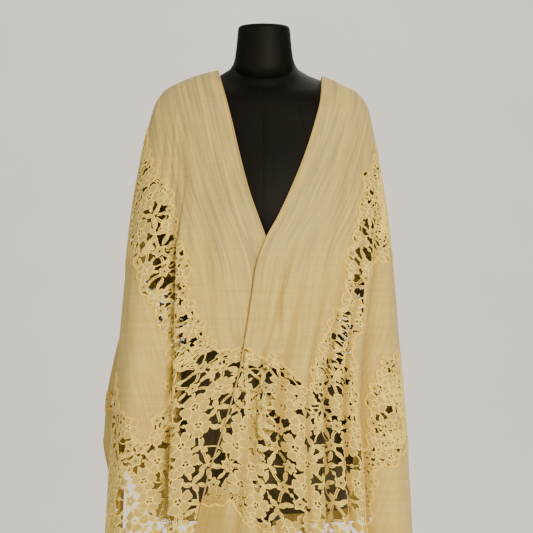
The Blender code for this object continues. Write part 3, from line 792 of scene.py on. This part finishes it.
def fill_holes(plans, motifs, draw):
    """A small star or spray wherever the net still leaves a hole wider than HOLE."""
    for z in np.arange(SEARCH_TOP, LOWEST, -SEARCH_STEP):
        reaches = np.arange(-SEARCH_REACH, SEARCH_REACH, SEARCH_STEP)
        places = np.column_stack([reaches, np.full(len(reaches), z)])
        for plan in plans:
            mine = places[(reaches < 0) == (plan.half.sign < 0)]
            share = plan.half.share_at(mine[:, 0], mine[:, 1])
            kept = np.isfinite(share) & (mine[:, 1] > plan.half.hem(np.nan_to_num(share)) + 0.006)
            mine, share = mine[kept], share[kept]
            if not len(mine):
                continue
            rooms = -plan.depth(mine)
            for place, room, way in zip(mine, rooms, share):
                hole = hole_limit(plan.half, way, place[1])
                if room < 0.5 * hole:
                    continue
                near = min(math.hypot(m.reach - place[0], m.z - place[1]) - 0.9 * m.radius for m in motifs)
                space = min(room, near)
                if space > FILL_SHARE * hole:
                    kind = draw.choice(("star", "star", "leaves")) if hole == HOLE else "star"
                    radius = min(0.0115, FILL_SHARE * space) if kind == "star" else 0.42 * space
                    if hole != HOLE:
                        radius = min(0.0125, 1.05 * space)
                    motifs.append(Motif(kind, place[0], place[1], draw.uniform(0, 6.28), radius, 5))


BAR_KINDS = ("double", "single", "loop", "leaf", "double", "leaf")


def work_lace(plans, motifs):
    """Every motif and every bar of the lace, still flat."""
    draw = random.Random(23)
    patch = Patch()
    for motif in motifs:
        if motif.kind == "flower":
            draw_flower(patch, motif, draw)
        elif motif.kind == "star":
            draw_star(patch, motif, draw)
        else:
            for k in range(3):
                angle = motif.turn + 2 * math.pi * k / 3
                away = 0.88 * motif.radius
                middle = (motif.reach + away * math.cos(angle), motif.z + away * math.sin(angle))
                draw_leaf(patch, middle, angle, LEAF_LENGTH * 0.85, 1.15)
    middles = np.array([(m.reach, m.z) for m in motifs])
    radii = np.array([m.radius for m in motifs])
    for number, motif in enumerate(motifs):
        ahead = middles - middles[number]
        away = np.hypot(ahead[:, 0], ahead[:, 1])
        gap = away - radii - motif.radius
        for other in np.flatnonzero((gap > 0.001) & (gap < 0.024) & (away < 1.45 * LACE_PITCH)):
            if other < number:
                continue
            way = ahead[other] / away[other]
            halfway = middles[number] + ahead[other] / 2
            if (np.hypot(*(middles - halfway).T) < radii * 0.8).any():
                continue
            start = middles[number] + way * motif.radius * 0.84
            draw_bar(patch, start, middles[other] - way * radii[other] * 0.84, draw, draw.choice(BAR_KINDS))
    for plan in plans:
        tie_to_seams(patch, plan, middles, radii, draw)
    return patch


def tie_to_seams(patch, plan, middles, radii, draw):
    """Short bars from the seams to the nearest motifs."""
    for name in SEAMS:
        line = plan.half.flat_line(name)
        depth = plan.depth_with_motifs(line)
        for place, off in list(zip(line, depth))[::TIE_EVERY]:
            if off < -0.002:
                continue
            gap = np.hypot(*(middles - place).T) - radii
            into = ((middles - place) * plan.inward(place)).sum(axis=1) > 0
            gap = np.where(into & (gap > 0.002), gap, 9.0)
            nearest = int(gap.argmin())
            if gap[nearest] < 0.030:
                way = place - middles[nearest]
                end = middles[nearest] + way / np.linalg.norm(way) * radii[nearest] * 0.84
                draw_bar(patch, place, end, draw, draw.choice(("single", "double", "single", "loop")))


# ---------------------------------------------------------------- meshes

def add_mesh(name, points, faces, material):
    mesh = bpy.data.meshes.new(name)
    mesh.from_pydata(np.asarray(points).tolist(), [], faces)
    mesh.materials.append(material)
    mesh.shade_smooth()
    piece = bpy.data.objects.new(name, mesh)
    bpy.context.collection.objects.link(piece)
    return piece


def add_flat_map(piece, flat):
    """A UV map in metres of cloth."""
    layer = piece.data.uv_layers.new(name="cloth")
    corner = np.empty(len(piece.data.loops), dtype=np.int32)
    piece.data.loops.foreach_get("vertex_index", corner)
    layer.data.foreach_set("uv", np.asarray(flat, np.float32)[corner].ravel())


def add_point_value(piece, name, values):
    layer = piece.data.attributes.new(name, "FLOAT", "POINT")
    layer.data.foreach_set("value", np.asarray(values, np.float32))


def tube(points, normals, radius, sides=6, flat=1.0):
    """A closed round cord along points, pressed flat along the normals when flat is under 1."""
    points = np.asarray(points, float)
    normals = np.asarray(normals, float)
    ahead = np.gradient(points, axis=0)
    ahead /= np.maximum(np.linalg.norm(ahead, axis=1), 1e-9)[:, None]
    aside = np.cross(ahead, normals)
    aside /= np.maximum(np.linalg.norm(aside, axis=1), 1e-9)[:, None]
    up = np.cross(aside, ahead)
    radius = np.asarray(radius) * np.ones(len(points))
    places = []
    for k in range(sides):
        angle = 2 * math.pi * k / sides
        way = aside * math.cos(angle) + up * (math.sin(angle) * flat)
        places.append(points + way * radius[:, None])
    places = np.stack(places, 1).reshape(-1, 3)
    faces = []
    for i in range(len(points) - 1):
        for k in range(sides):
            a, b = i * sides + k, i * sides + (k + 1) % sides
            faces.append((a, b, b + sides, a + sides))
    faces.append(tuple(reversed(range(sides))))
    faces.append(tuple(range((len(points) - 1) * sides, len(points) * sides)))
    return places, faces


def join_tubes(runs, radius, sides=6, flat=1.0):
    points, faces, start = [], [], 0
    for run, normals in runs:
        if len(run) < 4:
            continue
        places, more = tube(run, normals, radius(len(run)) if callable(radius) else radius, sides, flat)
        points.append(places)
        faces += [tuple(start + i for i in face) for face in more]
        start += len(places)
    return np.vstack(points), faces


def ease(points, rounds):
    """Smooths a line without moving its ends."""
    points = np.array(points)
    for _ in range(rounds):
        points[1:-1] = 0.5 * points[1:-1] + 0.25 * (points[:-2] + points[2:])
    return points


def chain(pairs):
    """Runs of point numbers from loose pairs of neighbours."""
    links = {}
    for a, b in pairs:
        links.setdefault(a, []).append(b)
        links.setdefault(b, []).append(a)
    used = set()
    runs = []
    starts = [p for p, near in links.items() if len(near) == 1] + list(links)
    for start in starts:
        if start in used:
            continue
        run = [start]
        used.add(start)
        while True:
            near = [p for p in links[run[-1]] if p not in used]
            if not near:
                break
            run.append(near[0])
            used.add(near[0])
        if len(run) > 2 and run[0] in links[run[-1]]:
            run.append(run[0])
        runs.append(run)
    return runs


WEAVE_TURNS = (0.62, 0.80)  # where the warp leaves the line of the front edge for the spine's


class WoolSheet:
    """The plain gauze of one half, cut away where the lace is let in."""

    def __init__(self, half, plan):
        self.half = half
        steps = np.linspace(0, 1, int((half.top - LOWEST) / ROW_STEP))
        top = half.top - NECK_EDGE_DROP
        self.z = top - steps[:, None] * (top - half.hem(half.shares))[None, :]
        flat_share = np.broadcast_to(half.shares, self.z.shape).ravel()
        flat_z = self.z.ravel()
        self.points, self.normals = half.place(flat_share, flat_z)
        reach = half.sample(half.reach, flat_share, flat_z)
        self.flat = np.column_stack([reach, flat_z])
        from_edge = np.interp(-flat_z, -half.levels, half.reach[:, 0]) - reach
        turn = np.clip((flat_share - WEAVE_TURNS[0]) / (WEAVE_TURNS[1] - WEAVE_TURNS[0]), 0, 1)
        self.weave = np.column_stack([(1 - turn) * from_edge - turn * reach, flat_z])
        self.depth = plan.depth_with_motifs(self.flat)
        self.valley = half.sample(half.valley, flat_share, flat_z)
        self.rows, self.columns = self.z.shape

    def cut(self):
        """The facets of plain cloth, and the line along which the lace meets it."""
        columns = self.columns
        points = list(self.points)
        flat = list(np.column_stack([self.flat, self.valley, self.weave]))
        crossing = {}
        faces = []
        pairs = []
        depth = self.depth

        def cross(a, b):
            key = (a, b) if a < b else (b, a)
            if key not in crossing:
                way = depth[a] / (depth[a] - depth[b])
                crossing[key] = len(points)
                points.append(points[a] + (points[b] - points[a]) * way)
                flat.append(flat[a] + (flat[b] - flat[a]) * way)
            return crossing[key]

        keep = depth > 0
        for r in range(self.rows - 1):
            base = r * columns
            for c in range(columns - 1):
                a, b = base + c, base + c + 1
                d, e = a + columns, b + columns
                count = keep[a] + keep[b] + keep[d] + keep[e]
                if count == 4:
                    faces.append((a, d, e, b))
                elif count:
                    for tri in ((a, d, e), (a, e, b)):
                        inside = [i for i in range(3) if keep[tri[i]]]
                        if len(inside) == 3:
                            faces.append(tri)
                        elif inside:
                            lone = inside[0] if len(inside) == 1 else 3 - sum(inside)
                            p, q, s = tri[lone], tri[(lone + 1) % 3], tri[(lone + 2) % 3]
                            x, y = cross(p, q), cross(p, s)
                            faces.append((p, x, y) if len(inside) == 1 else (x, q, s, y))
                            pairs.append((x, y))
        if self.half.sign < 0:
            faces = [tuple(reversed(face)) for face in faces]
        used = sorted({i for face in faces for i in face})
        number = {old: new for new, old in enumerate(used)}
        faces = [tuple(number[i] for i in face) for face in faces]
        source = np.array(points)
        return source[used], faces, np.array(flat)[used], [source[run] for run in chain(pairs)]


HALVES = None


def cloth():
    """The two halves, their lace plans and the motifs, worked out once."""
    global HALVES
    if HALVES is None:
        halves = [HalfCloth("left", -1, LEFT_OVALS, LEFT_FOLDS, LEFT_SEAMS),
                  HalfCloth("right", 1, RIGHT_OVALS, RIGHT_FOLDS, RIGHT_SEAMS)]
        plans = [LacePlan(half) for half in halves]
        HALVES = (halves, plans, lay_motifs(plans))
    return HALVES


# ---------------------------------------------------------------- materials

def scaled(colour, amount):
    return tuple(min(1.0, c * amount) for c in colour)


class Finish:
    """A material in the making, with the few nodes that every finish here is made of."""

    def __init__(self, name, flat_map=None):
        self.material = bpy.data.materials.new(name)
        self.material.use_nodes = True
        self.nodes = self.material.node_tree.nodes
        self.links = self.material.node_tree.links
        self.shader = self.nodes["Principled BSDF"]
        if flat_map:
            source = self.nodes.new("ShaderNodeUVMap")
            source.uv_map = flat_map
            self.where = source.outputs["UV"]
        else:
            self.where = self.nodes.new("ShaderNodeTexCoord").outputs["Object"]

    def noise(self, scale, detail, stretch=(1, 1, 1)):
        mapping = self.nodes.new("ShaderNodeMapping")
        mapping.inputs["Scale"].default_value = stretch
        self.links.new(self.where, mapping.inputs["Vector"])
        texture = self.nodes.new("ShaderNodeTexNoise")
        texture.inputs["Scale"].default_value = scale
        texture.inputs["Detail"].default_value = detail
        self.links.new(mapping.outputs["Vector"], texture.inputs["Vector"])
        return texture.outputs["Fac"]

    def ramp(self, value, dark, light, low, high):
        node = self.nodes.new("ShaderNodeValToRGB")
        for element, position, colour in zip(node.color_ramp.elements, (low, high), (dark, light)):
            element.position = position
            element.color = (*colour, 1)
        self.links.new(value, node.inputs["Fac"])
        return node.outputs["Color"]

    def tones(self, value, colour, dark, light, low=0.35, high=0.65):
        """One colour from a darker to a lighter tone of itself."""
        return self.ramp(value, scaled(colour, dark), scaled(colour, light), low, high)

    def mix(self, factor, first, second):
        node = self.nodes.new("ShaderNodeMix")
        node.data_type = "RGBA"
        if isinstance(factor, float):
            node.inputs["Factor"].default_value = factor
        else:
            self.links.new(factor, node.inputs["Factor"])
        for socket, value in (("A", first), ("B", second)):
            slot = [s for s in node.inputs if s.name == socket and s.type == "RGBA"][0]
            if isinstance(value, tuple):
                slot.default_value = (*value, 1)
            else:
                self.links.new(value, slot)
        return [s for s in node.outputs if s.type == "RGBA"][0]

    def attribute(self, name):
        node = self.nodes.new("ShaderNodeAttribute")
        node.attribute_name = name
        return node.outputs["Fac"]

    def climb(self, value, low, high, most):
        """Runs a value from 0 at low to most at high."""
        node = self.nodes.new("ShaderNodeMapRange")
        node.inputs["From Min"].default_value = low
        node.inputs["From Max"].default_value = high
        node.inputs["To Max"].default_value = most
        self.links.new(value, node.inputs["Value"])
        return node.outputs["Result"]

    def finished(self, colour, height, strength, distance, **values):
        """Sets the colour, the bump and the shader's plain values, and hands over the material."""
        self.links.new(colour, self.shader.inputs["Base Color"])
        for name, value in values.items():
            self.shader.inputs[SOCKETS[name]].default_value = value
        bump = self.nodes.new("ShaderNodeBump")
        bump.inputs["Strength"].default_value = strength
        bump.inputs["Distance"].default_value = distance
        self.links.new(height, bump.inputs["Height"])
        self.links.new(bump.outputs["Normal"], self.shader.inputs["Normal"])
        return self.material


SOCKETS = {"rough": "Roughness", "sheen": "Sheen Weight", "sheen_rough": "Sheen Roughness",
           "specular": "Specular IOR Level", "metal": "Metallic"}


def gauze_material(settings):
    """Open wool gauze: fine and broad threads both ways, greyer where the form is close behind, with painted
    shade in its folds.
    """
    finish = Finish("wool_gauze", "cloth")
    colour = tuple(settings.wool_colour)
    warp = finish.noise(1.0, 4.0, (420, 9, 1))
    weft = finish.noise(1.0, 3.0, (10, 300, 1))
    slub = finish.noise(1.0, 3.0, (135, 7, 1))
    thick = finish.noise(1.0, 3.0, (8, 120, 1))
    clouds = finish.noise(7.0, 2.0)
    fine = finish.mix(0.4, finish.tones(warp, colour, 0.58, 1.22, 0.36, 0.64),
                      finish.tones(weft, colour, 0.66, 1.16, 0.36, 0.64))
    broad = finish.mix(0.45, finish.tones(slub, colour, 0.62, 1.22, 0.38, 0.62),
                       finish.tones(thick, colour, 0.70, 1.18, 0.38, 0.62))
    plain = finish.mix(0.3, finish.mix(0.52, fine, broad), finish.tones(clouds, colour, 0.80, 1.10))
    threads = finish.mix(0.5, slub, warp)
    dark = finish.ramp(threads, tuple(settings.shown_through), colour, 0.40, 0.60)
    over_form = finish.climb(finish.attribute("over_form"), 0.0, 1.0, 0.66)
    greyed = finish.mix(over_form, plain, dark)
    # Painted shade: the gauze darkens to the fold colour where it lies in a fold.
    fold_shade = finish.climb(finish.attribute("valley"), 0.02, 1.0, 0.75)
    height = finish.nodes.new("ShaderNodeMath")
    height.operation = "ADD"
    finish.links.new(warp, height.inputs[0])
    finish.links.new(weft, height.inputs[1])
    with_fold_shade = finish.mix(fold_shade, greyed, tuple(settings.fold_shade_colour))
    return finish.finished(with_fold_shade, height.outputs[0], 0.8, 0.0022,
                           rough=0.85, sheen=0.15, sheen_rough=0.5, specular=0.2)


def lace_material(settings):
    """Lace: a duller net fill and a paler, smoother outline cord, with painted shade in its folds."""
    finish = Finish("corded_lace", "cloth")
    fill = tuple(settings.lace_colour)
    net = finish.noise(900.0, 2.0)
    tint = finish.noise(14.0, 2.0)
    filled = finish.mix(0.4, finish.tones(net, fill, 0.78, 1.08), finish.tones(tint, fill, 0.86, 1.05))
    worked = finish.mix(finish.attribute("cord"), filled, tuple(settings.cord_colour))
    # Painted shade: the lace darkens to the fold colour where it lies in a fold.
    fold_shade = finish.climb(finish.attribute("valley"), 0.02, 0.9, 0.85)
    return finish.finished(finish.mix(fold_shade, worked, tuple(settings.fold_shade_colour)), net, 0.3, 0.0008,
                           rough=0.7, sheen=0.2, specular=0.3)


def cord_material(name, colour, twist=700.0):
    finish = Finish(name)
    strands = finish.noise(twist, 2.0)
    shade = finish.noise(40.0, 2.0)
    both = finish.mix(0.4, finish.tones(strands, colour, 0.75, 1.12), finish.tones(shade, colour, 0.85, 1.08))
    return finish.finished(both, strands, 0.5, 0.0006, rough=0.65, sheen=0.2)


OLIVE_STARTS = 1.06       # above this height the cover keeps its plain black, and below the next height it is all a paler olive
OLIVE_FULL = 0.93


def jersey_material(settings):
    """Tight black jersey: a fine rib, a soft sheen, and a paler olive colour lower down, where the cloth lies
    on it.
    """
    finish = Finish("form_jersey")
    colour = tuple(settings.cover_colour)
    rib = finish.noise(1.0, 2.0, (900, 900, 260))
    worn = finish.noise(9.0, 3.0)
    jersey = finish.mix(0.5, finish.tones(rib, colour, 0.7, 1.4), finish.tones(worn, colour, 0.8, 1.25))
    height = finish.nodes.new("ShaderNodeSeparateXYZ")
    finish.links.new(finish.where, height.inputs[0])
    # The cover turns from its black to a paler olive lower down.
    olive_amount = finish.climb(height.outputs["Z"], OLIVE_STARTS, OLIVE_FULL, 1.0)
    olive_low = finish.tones(worn, tuple(settings.low_olive_colour), 0.75, 1.25)
    return finish.finished(finish.mix(olive_amount, jersey, olive_low), rib, 0.25, 0.0006,
                           rough=0.6, sheen=0.01, sheen_rough=0.35, specular=0.12)


def paint_material(settings):
    """Satin black paint with a faint orange-peel and rubbed patches."""
    finish = Finish("satin_paint")
    rubbed = finish.tones(finish.noise(14.0, 4.0), tuple(settings.paint_colour), 0.8, 1.6, 0.3, 0.7)
    return finish.finished(rubbed, finish.noise(220.0, 2.0), 0.12, 0.0005, rough=0.38, metal=0.3)


# ---------------------------------------------------------------- settings

COLOUR = {"subtype": "COLOR", "size": 3, "min": 0, "max": 1}
LENGTH = {"subtype": "DISTANCE", "unit": "LENGTH"}
RADIUS = {"subtype": "DISTANCE", "unit": "LENGTH", "min": 0.0003, "max": 0.004}


class SHAWL_PG_settings(bpy.types.PropertyGroup):
    wool_colour: FloatVectorProperty(
        name="Gauze", description="Colour of the plain wool gauze", default=(0.74, 0.55, 0.150), **COLOUR)
    shown_through: FloatVectorProperty(
        name="Gauze over the form", description="Gauze that the form darkens", default=(0.33, 0.275, 0.150),
        **COLOUR)
    # Painted shade: the darker gold that gauze and lace take on in their folds.
    fold_shade_colour: FloatVectorProperty(
        name="Deep folds", description="Colour where the cloth lies in a fold", default=(0.42, 0.255, 0.040),
        **COLOUR)
    lace_colour: FloatVectorProperty(
        name="Lace fill", description="Colour of the filled petals", default=(0.62, 0.450, 0.100), **COLOUR)
    cord_colour: FloatVectorProperty(
        name="Lace cord", description="Colour of the outline cord", default=(1.0, 0.76, 0.17), **COLOUR)
    edging_colour: FloatVectorProperty(
        name="Edging", description="Colour of the cord where lace meets gauze", default=(1.0, 0.64, 0.07),
        **COLOUR)
    hem_colour: FloatVectorProperty(
        name="Hem", description="Colour of the rolled hem", default=(0.60, 0.40, 0.10), **COLOUR)
    cover_colour: FloatVectorProperty(
        name="Form cover", description="Colour of the form's jersey", default=(0.0040, 0.0030, 0.0016),
        **COLOUR)
    # A paler olive that the cover turns to lower down, under the cloth.
    low_olive_colour: FloatVectorProperty(
        name="Lint on the cover", description="Colour of the cover under the cloth",
        default=(0.085, 0.068, 0.030), **COLOUR)
    paint_colour: FloatVectorProperty(
        name="Stand paint", description="Colour of the stand", default=(0.02, 0.02, 0.022), **COLOUR)
    edging_radius: FloatProperty(
        name="Edging radius", description="Radius of the cord round the lace", default=0.0022, **RADIUS)
    hem_radius: FloatProperty(
        name="Hem radius", description="Radius of the rolled hem", default=0.0014, **RADIUS)
    view_height: FloatProperty(
        name="View height", description="Height at the middle of the picture", default=1.0488, **LENGTH)
    view_width: FloatProperty(
        name="View width", description="Width of the picture at the pole", default=1.0, **LENGTH)
    view_distance: FloatProperty(
        name="View distance", description="From the camera to the pole", default=3.2, **LENGTH)


# ---------------------------------------------------------------- operators

FORM_SEAMS = (0, 42, -42, 138, -138, 180)  # where the cover's seams run, in degrees from straight ahead
SEAM_RADIUS = 0.0007


class SHAWL_OT_form(bpy.types.Operator):
    """Cover the torso and the neck block in jersey, with their seams"""
    bl_idname = "shawl.form"
    bl_label = "Dress form"

    def execute(self, context):
        cover = jersey_material(context.scene.shawl)
        for name in ("form_torso", "form_neck"):
            smooth_copy(name, f"{name}_cover", cover, 40)
        runs = [seam_run(angle) for angle in FORM_SEAMS]
        points, faces = join_tubes([run for run in runs if run], SEAM_RADIUS, 5)
        seams = add_mesh("form_seams", points, faces, cover)
        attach(seams, "root")
        return {"FINISHED"}


def smooth_copy(node, name, material, crease_angle):
    """The node's own shape with its facets merged and rounded, edges over crease_angle kept sharp."""
    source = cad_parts[node]
    mesh = source.data.copy()
    work = bmesh.new()
    work.from_mesh(mesh)
    bmesh.ops.remove_doubles(work, verts=work.verts, dist=0.00002)
    work.to_mesh(mesh)
    work.free()
    mesh.materials.clear()
    mesh.materials.append(material)
    mesh.shade_smooth()
    mesh.set_sharp_from_angle(angle=math.radians(crease_angle))
    piece = bpy.data.objects.new(name, mesh)
    bpy.context.collection.objects.link(piece)
    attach(piece, "root")
    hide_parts(node)


def seam_run(degrees):
    """A seam down the torso from the neck to its foot, lying half sunk in the cover."""
    angle = math.radians(degrees)
    points, normals = [], []
    for z in np.linspace(1.385 if abs(degrees) < 90 else 1.40, FORM_FOOT + 0.004, 90):
        origin = Vector((0.6 * math.sin(angle), -0.6 * math.cos(angle), z))
        aim = Vector((0.0, 0.0, z)) - origin
        where, normal, _, _ = form_tree().ray_cast(origin, aim.normalized())
        if where is not None:
            points.append(where)
            normals.append(normal)
    return (ease(np.array(points), 2), np.array(normals)) if len(points) > 4 else None


class SHAWL_OT_stand(bpy.types.Operator):
    """Paint the collar, the pole and the base"""
    bl_idname = "shawl.stand"
    bl_label = "Stand"

    def execute(self, context):
        paint = paint_material(context.scene.shawl)
        for name in ("stand_collar", "stand_pole", "stand_base"):
            smooth_copy(name, f"{name}_painted", paint, 35)
        return {"FINISHED"}


class SHAWL_OT_gauze(bpy.types.Operator):
    """Drape the plain gauze, cord the lace into it and roll its hems"""
    bl_idname = "shawl.gauze"
    bl_label = "Gauze and edging"

    def execute(self, context):
        settings = context.scene.shawl
        gauze = gauze_material(settings)
        edging = cord_material("edging_cord", tuple(settings.edging_colour))
        hemmed = cord_material("rolled_hem", tuple(settings.hem_colour), 500.0)
        halves, plans, _ = cloth()
        for half, plan in zip(halves, plans):
            sheet = WoolSheet(half, plan)
            points, faces, flat, runs = sheet.cut()
            wool = add_mesh(f"shawl_gauze_{half.name}", points, faces, gauze)
            add_flat_map(wool, flat[:, 3:5])
            add_point_value(wool, "valley", flat[:, 2])
            add_point_value(wool, "over_form", lies_over(points, outward_all(half, flat)))
            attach(wool, "root")
            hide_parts(*(f"{band}_{half.name}" for band in ("wool_yoke", "wool_side", "wool_hem")))
            self.cord_edges(half, runs, settings, edging)
            self.roll_hems(half, sheet, settings, hemmed)
        return {"FINISHED"}

    def cord_edges(self, half, runs, settings, edging):
        draw = random.Random(5)
        finished = []
        for run in runs:
            if len(run) < 8:
                continue
            run = ease(run, 2)
            finished.append((run, outward(half, run)))

        def radius(count):
            return settings.edging_radius * np.array([draw.uniform(0.75, 1.35) for _ in range(count)])

        lifted = [(run + normal * 0.0008, normal) for run, normal in finished]
        points, faces = join_tubes(lifted, radius, 6, 0.45)
        cord = add_mesh(f"lace_edging_{half.name}", points, faces, edging)
        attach(cord, "root")

    def roll_hems(self, half, sheet, settings, hemmed):
        grid = sheet.points.reshape(sheet.rows, sheet.columns, 3)
        normals = sheet.normals.reshape(sheet.rows, sheet.columns, 3)
        neck = [r for r in range(sheet.rows) if sheet.z[r, -1] > BACK_NECK]
        rims = ((slice(None), 0), (-1, slice(None)), (neck, -1))  # the front edge, the hem and the neck edge
        runs = [(grid[rim], normals[rim]) for rim in rims]
        points, faces = join_tubes(runs, settings.hem_radius, 6, 0.8)
        hem = add_mesh(f"rolled_hem_{half.name}", points, faces, hemmed)
        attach(hem, "root")


FORM_REACH = 0.060       # gauze this close over the black form lets it show
TREES = {}


def form_tree():
    if "form" not in TREES:
        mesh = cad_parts["form_torso"].data
        corners = [v.co for v in mesh.vertices]
        TREES["form"] = BVHTree.FromPolygons(corners, [tuple(p.vertices) for p in mesh.polygons])
    return TREES["form"]


def lies_over(points, normals):
    """1 where the form is close behind the cloth, fading to 0 where it is out of reach."""
    values = np.zeros(len(points))
    for number, (point, normal) in enumerate(zip(points, normals)):
        hit = form_tree().ray_cast(Vector(point), -Vector(normal), FORM_REACH)
        if hit[3] is not None:
            values[number] = 1 - (hit[3] / FORM_REACH) ** 2
    return values


def outward_all(half, flat):
    share = half.share_at(flat[:, 0], flat[:, 1])
    share = np.where(np.isfinite(share), share, 0.0)
    return half.place(share, flat[:, 1])[1]


def outward(half, points):
    """The cloth's outward direction at points on it, from the nearest table entry."""
    flat = half.table.reshape(-1, 3)
    normals = half.normals.reshape(-1, 3)
    columns = len(half.shares)
    found = []
    for point in points:
        row = int(np.interp(-point[2], -half.levels, np.arange(len(half.levels))))
        band = slice(row * columns, (row + 1) * columns)
        nearest = np.argmin(((flat[band] - point) ** 2).sum(axis=1))
        found.append(normals[band][nearest])
    return np.array(found)


class SHAWL_OT_lace(bpy.types.Operator):
    """Work the lace and lay it into the gauze"""
    bl_idname = "shawl.lace"
    bl_label = "Lace"

    def execute(self, context):
        material = lace_material(context.scene.shawl)
        halves, plans, motifs = cloth()
        patch = work_lace(plans, motifs)
        flat = np.array(patch.places)
        heights = np.array(patch.heights)
        cord = np.array(patch.cord)
        for half, plan in zip(halves, plans):
            self.lay(half, plan, flat, heights, cord, patch.faces, material)
        return {"FINISHED"}

    def lay(self, half, plan, flat, heights, cord, faces, material):
        """One half of the lace on its half of the cloth, in an upper and a lower piece."""
        reach, z = flat[:, 0], flat[:, 1]
        side = reach * half.sign
        share = np.full(len(reach), np.nan)
        mine = np.flatnonzero(side > -0.0005)
        share[mine] = half.share_at(reach[mine], z[mine])
        known = np.flatnonzero(np.isfinite(share) & (z < half.top - 0.002) & (z > LOWEST))
        on = np.zeros(len(reach), bool)
        depth = np.full(len(reach), 1.0)
        depth[known] = plan.depth_with_motifs(flat[known])
        free = half.hem(share[known])
        on[known] = (depth[known] < 0.0015) & (z[known] > free) & (share[known] > 0.002)
        spots = np.zeros((len(reach), 3))
        good = np.flatnonzero(on)
        spots[good], _ = half.place(share[good], z[good], LACE_LIFT + heights[good])
        is_upper = np.zeros(len(reach), bool)
        is_upper[good] = signed_distance(flat[good], plan.upper) < signed_distance(flat[good], plan.lower)
        kept = [face for face in faces if all(on[i] for i in face)]
        for band, wanted in (("upper", True), ("lower", False)):
            mine = [face for face in kept if is_upper[face[0]] == wanted]
            used = sorted({i for face in mine for i in face})
            number = {old: new for new, old in enumerate(used)}
            more = [tuple(number[i] for i in face) for face in mine]
            more = self.face_out(spots[used], more)
            lace = add_mesh(f"shawl_lace_{band}_{half.name}", spots[used], more, material)
            add_flat_map(lace, flat[used])
            add_point_value(lace, "cord", cord[used])
            add_point_value(lace, "valley", half.sample(half.valley, share[used], z[used]))
            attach(lace, "root")
            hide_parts(f"lace_{band}_{half.name}")

    def face_out(self, points, faces):
        """Turns every facet so that it looks away from the form."""
        turned_faces = []
        for face in faces:
            a, b, c = points[face[0]], points[face[1]], points[face[2]]
            normal = np.cross(b - a, c - a)
            middle = (a + b + c) / 3
            if normal[0] * middle[0] * 0.3 + normal[1] * middle[1] < 0:
                face = tuple(reversed(face))
            turned_faces.append(face)
        return turned_faces


SWEEP_START = 3.4        # the flat floor ends here and curves up into the wall
SWEEP_ROUND = 3.2


class SHAWL_OT_stage(bpy.types.Operator):
    """Set out the floor, the lights and the camera"""
    bl_idname = "shawl.stage"
    bl_label = "Studio"

    def execute(self, context):
        settings = context.scene.shawl
        self.lay_floor()
        self.add_light("key_light", (1.0, -3.1, 2.0), 128, 1.0, (1.0, 0.91, 0.74))
        self.add_light("fill_light", (-2.6, -1.8, 1.3), 18, 2.0, (1.0, 0.92, 0.78))
        self.add_light("back_light", (1.0, 2.0, 3.2), 30, 1.2, (1.0, 0.95, 0.88))
        self.add_light("wall_light", (0.0, 1.8, 4.6), 260, 3.0, (1.0, 0.96, 0.90), (0.0, 7.0, 0.9))
        world = bpy.data.worlds.new("studio")
        world.use_nodes = True
        sky = world.node_tree.nodes["Background"].inputs
        sky["Color"].default_value = (0.90, 0.88, 0.84, 1)
        sky["Strength"].default_value = 0.30
        context.scene.world = world
        data = bpy.data.cameras.new("camera")
        data.sensor_width = 36
        data.lens = 36 * settings.view_distance / settings.view_width
        camera = bpy.data.objects.new("camera", data)
        camera.location = (0.0047, -settings.view_distance, settings.view_height)
        camera.rotation_euler = (math.pi / 2, 0, 0)
        context.collection.objects.link(camera)
        context.scene.camera = camera
        return {"FINISHED"}

    def lay_floor(self):
        finish = Finish("studio_floor")
        soft = finish.noise(2.0, 2.0)
        pale = finish.ramp(soft, (0.84, 0.81, 0.76), (0.88, 0.85, 0.80), 0.3, 0.7)
        finish.links.new(pale, finish.shader.inputs["Base Color"])
        finish.shader.inputs["Roughness"].default_value = 0.9
        sweep = [(-7.0, 0.0), (SWEEP_START, 0.0)]
        for turn in np.linspace(0.1, math.pi / 2, 16):
            sweep.append((SWEEP_START + SWEEP_ROUND * math.sin(turn), SWEEP_ROUND * (1 - math.cos(turn))))
        sweep.append((SWEEP_START + SWEEP_ROUND, 8.0))
        points = [(x, y, z) for y, z in sweep for x in (-9.0, 9.0)]
        faces = [(2 * i, 2 * i + 1, 2 * i + 3, 2 * i + 2) for i in range(len(sweep) - 1)]
        add_mesh("studio_floor", points, faces, finish.material)

    def add_light(self, name, place, watts, size, colour, target=(0.0, 0.0, 1.1)):
        data = bpy.data.lights.new(name, "AREA")
        data.energy = watts
        data.size = size
        data.color = colour
        light = bpy.data.objects.new(name, data)
        light.location = place
        aim = Vector(target) - Vector(place)
        light.rotation_euler = aim.to_track_quat("-Z", "Y").to_euler()
        bpy.context.collection.objects.link(light)


class SHAWL_OT_declare(bpy.types.Operator):
    """Returns at once; states nothing about the cut of the cloth"""
    bl_idname = "shawl.declare"
    bl_label = "Cut sizes"

    def execute(self, context):
        return {"FINISHED"}


STEPS = ("form", "stand", "gauze", "lace", "declare", "stage")


class SHAWL_PT_panel(bpy.types.Panel):
    bl_label = "Lace shawl"
    bl_idname = "SHAWL_PT_panel"
    bl_space_type = "VIEW_3D"
    bl_region_type = "UI"
    bl_category = "Shawl"

    def draw(self, context):
        for name in SHAWL_PG_settings.__annotations__:
            self.layout.prop(context.scene.shawl, name)
        for step in STEPS:
            self.layout.operator(f"shawl.{step}")


CLASSES = (SHAWL_PG_settings, SHAWL_OT_form, SHAWL_OT_stand, SHAWL_OT_gauze, SHAWL_OT_lace,
           SHAWL_OT_declare, SHAWL_OT_stage, SHAWL_PT_panel)


def register():
    for cls in CLASSES:
        bpy.utils.register_class(cls)
    bpy.types.Scene.shawl = PointerProperty(type=SHAWL_PG_settings)


def unregister():
    del bpy.types.Scene.shawl
    for cls in reversed(CLASSES):
        bpy.utils.unregister_class(cls)


def main():
    register()
    for step in STEPS:
        getattr(bpy.ops.shawl, step)()


if __name__ == "__main__":
    main()
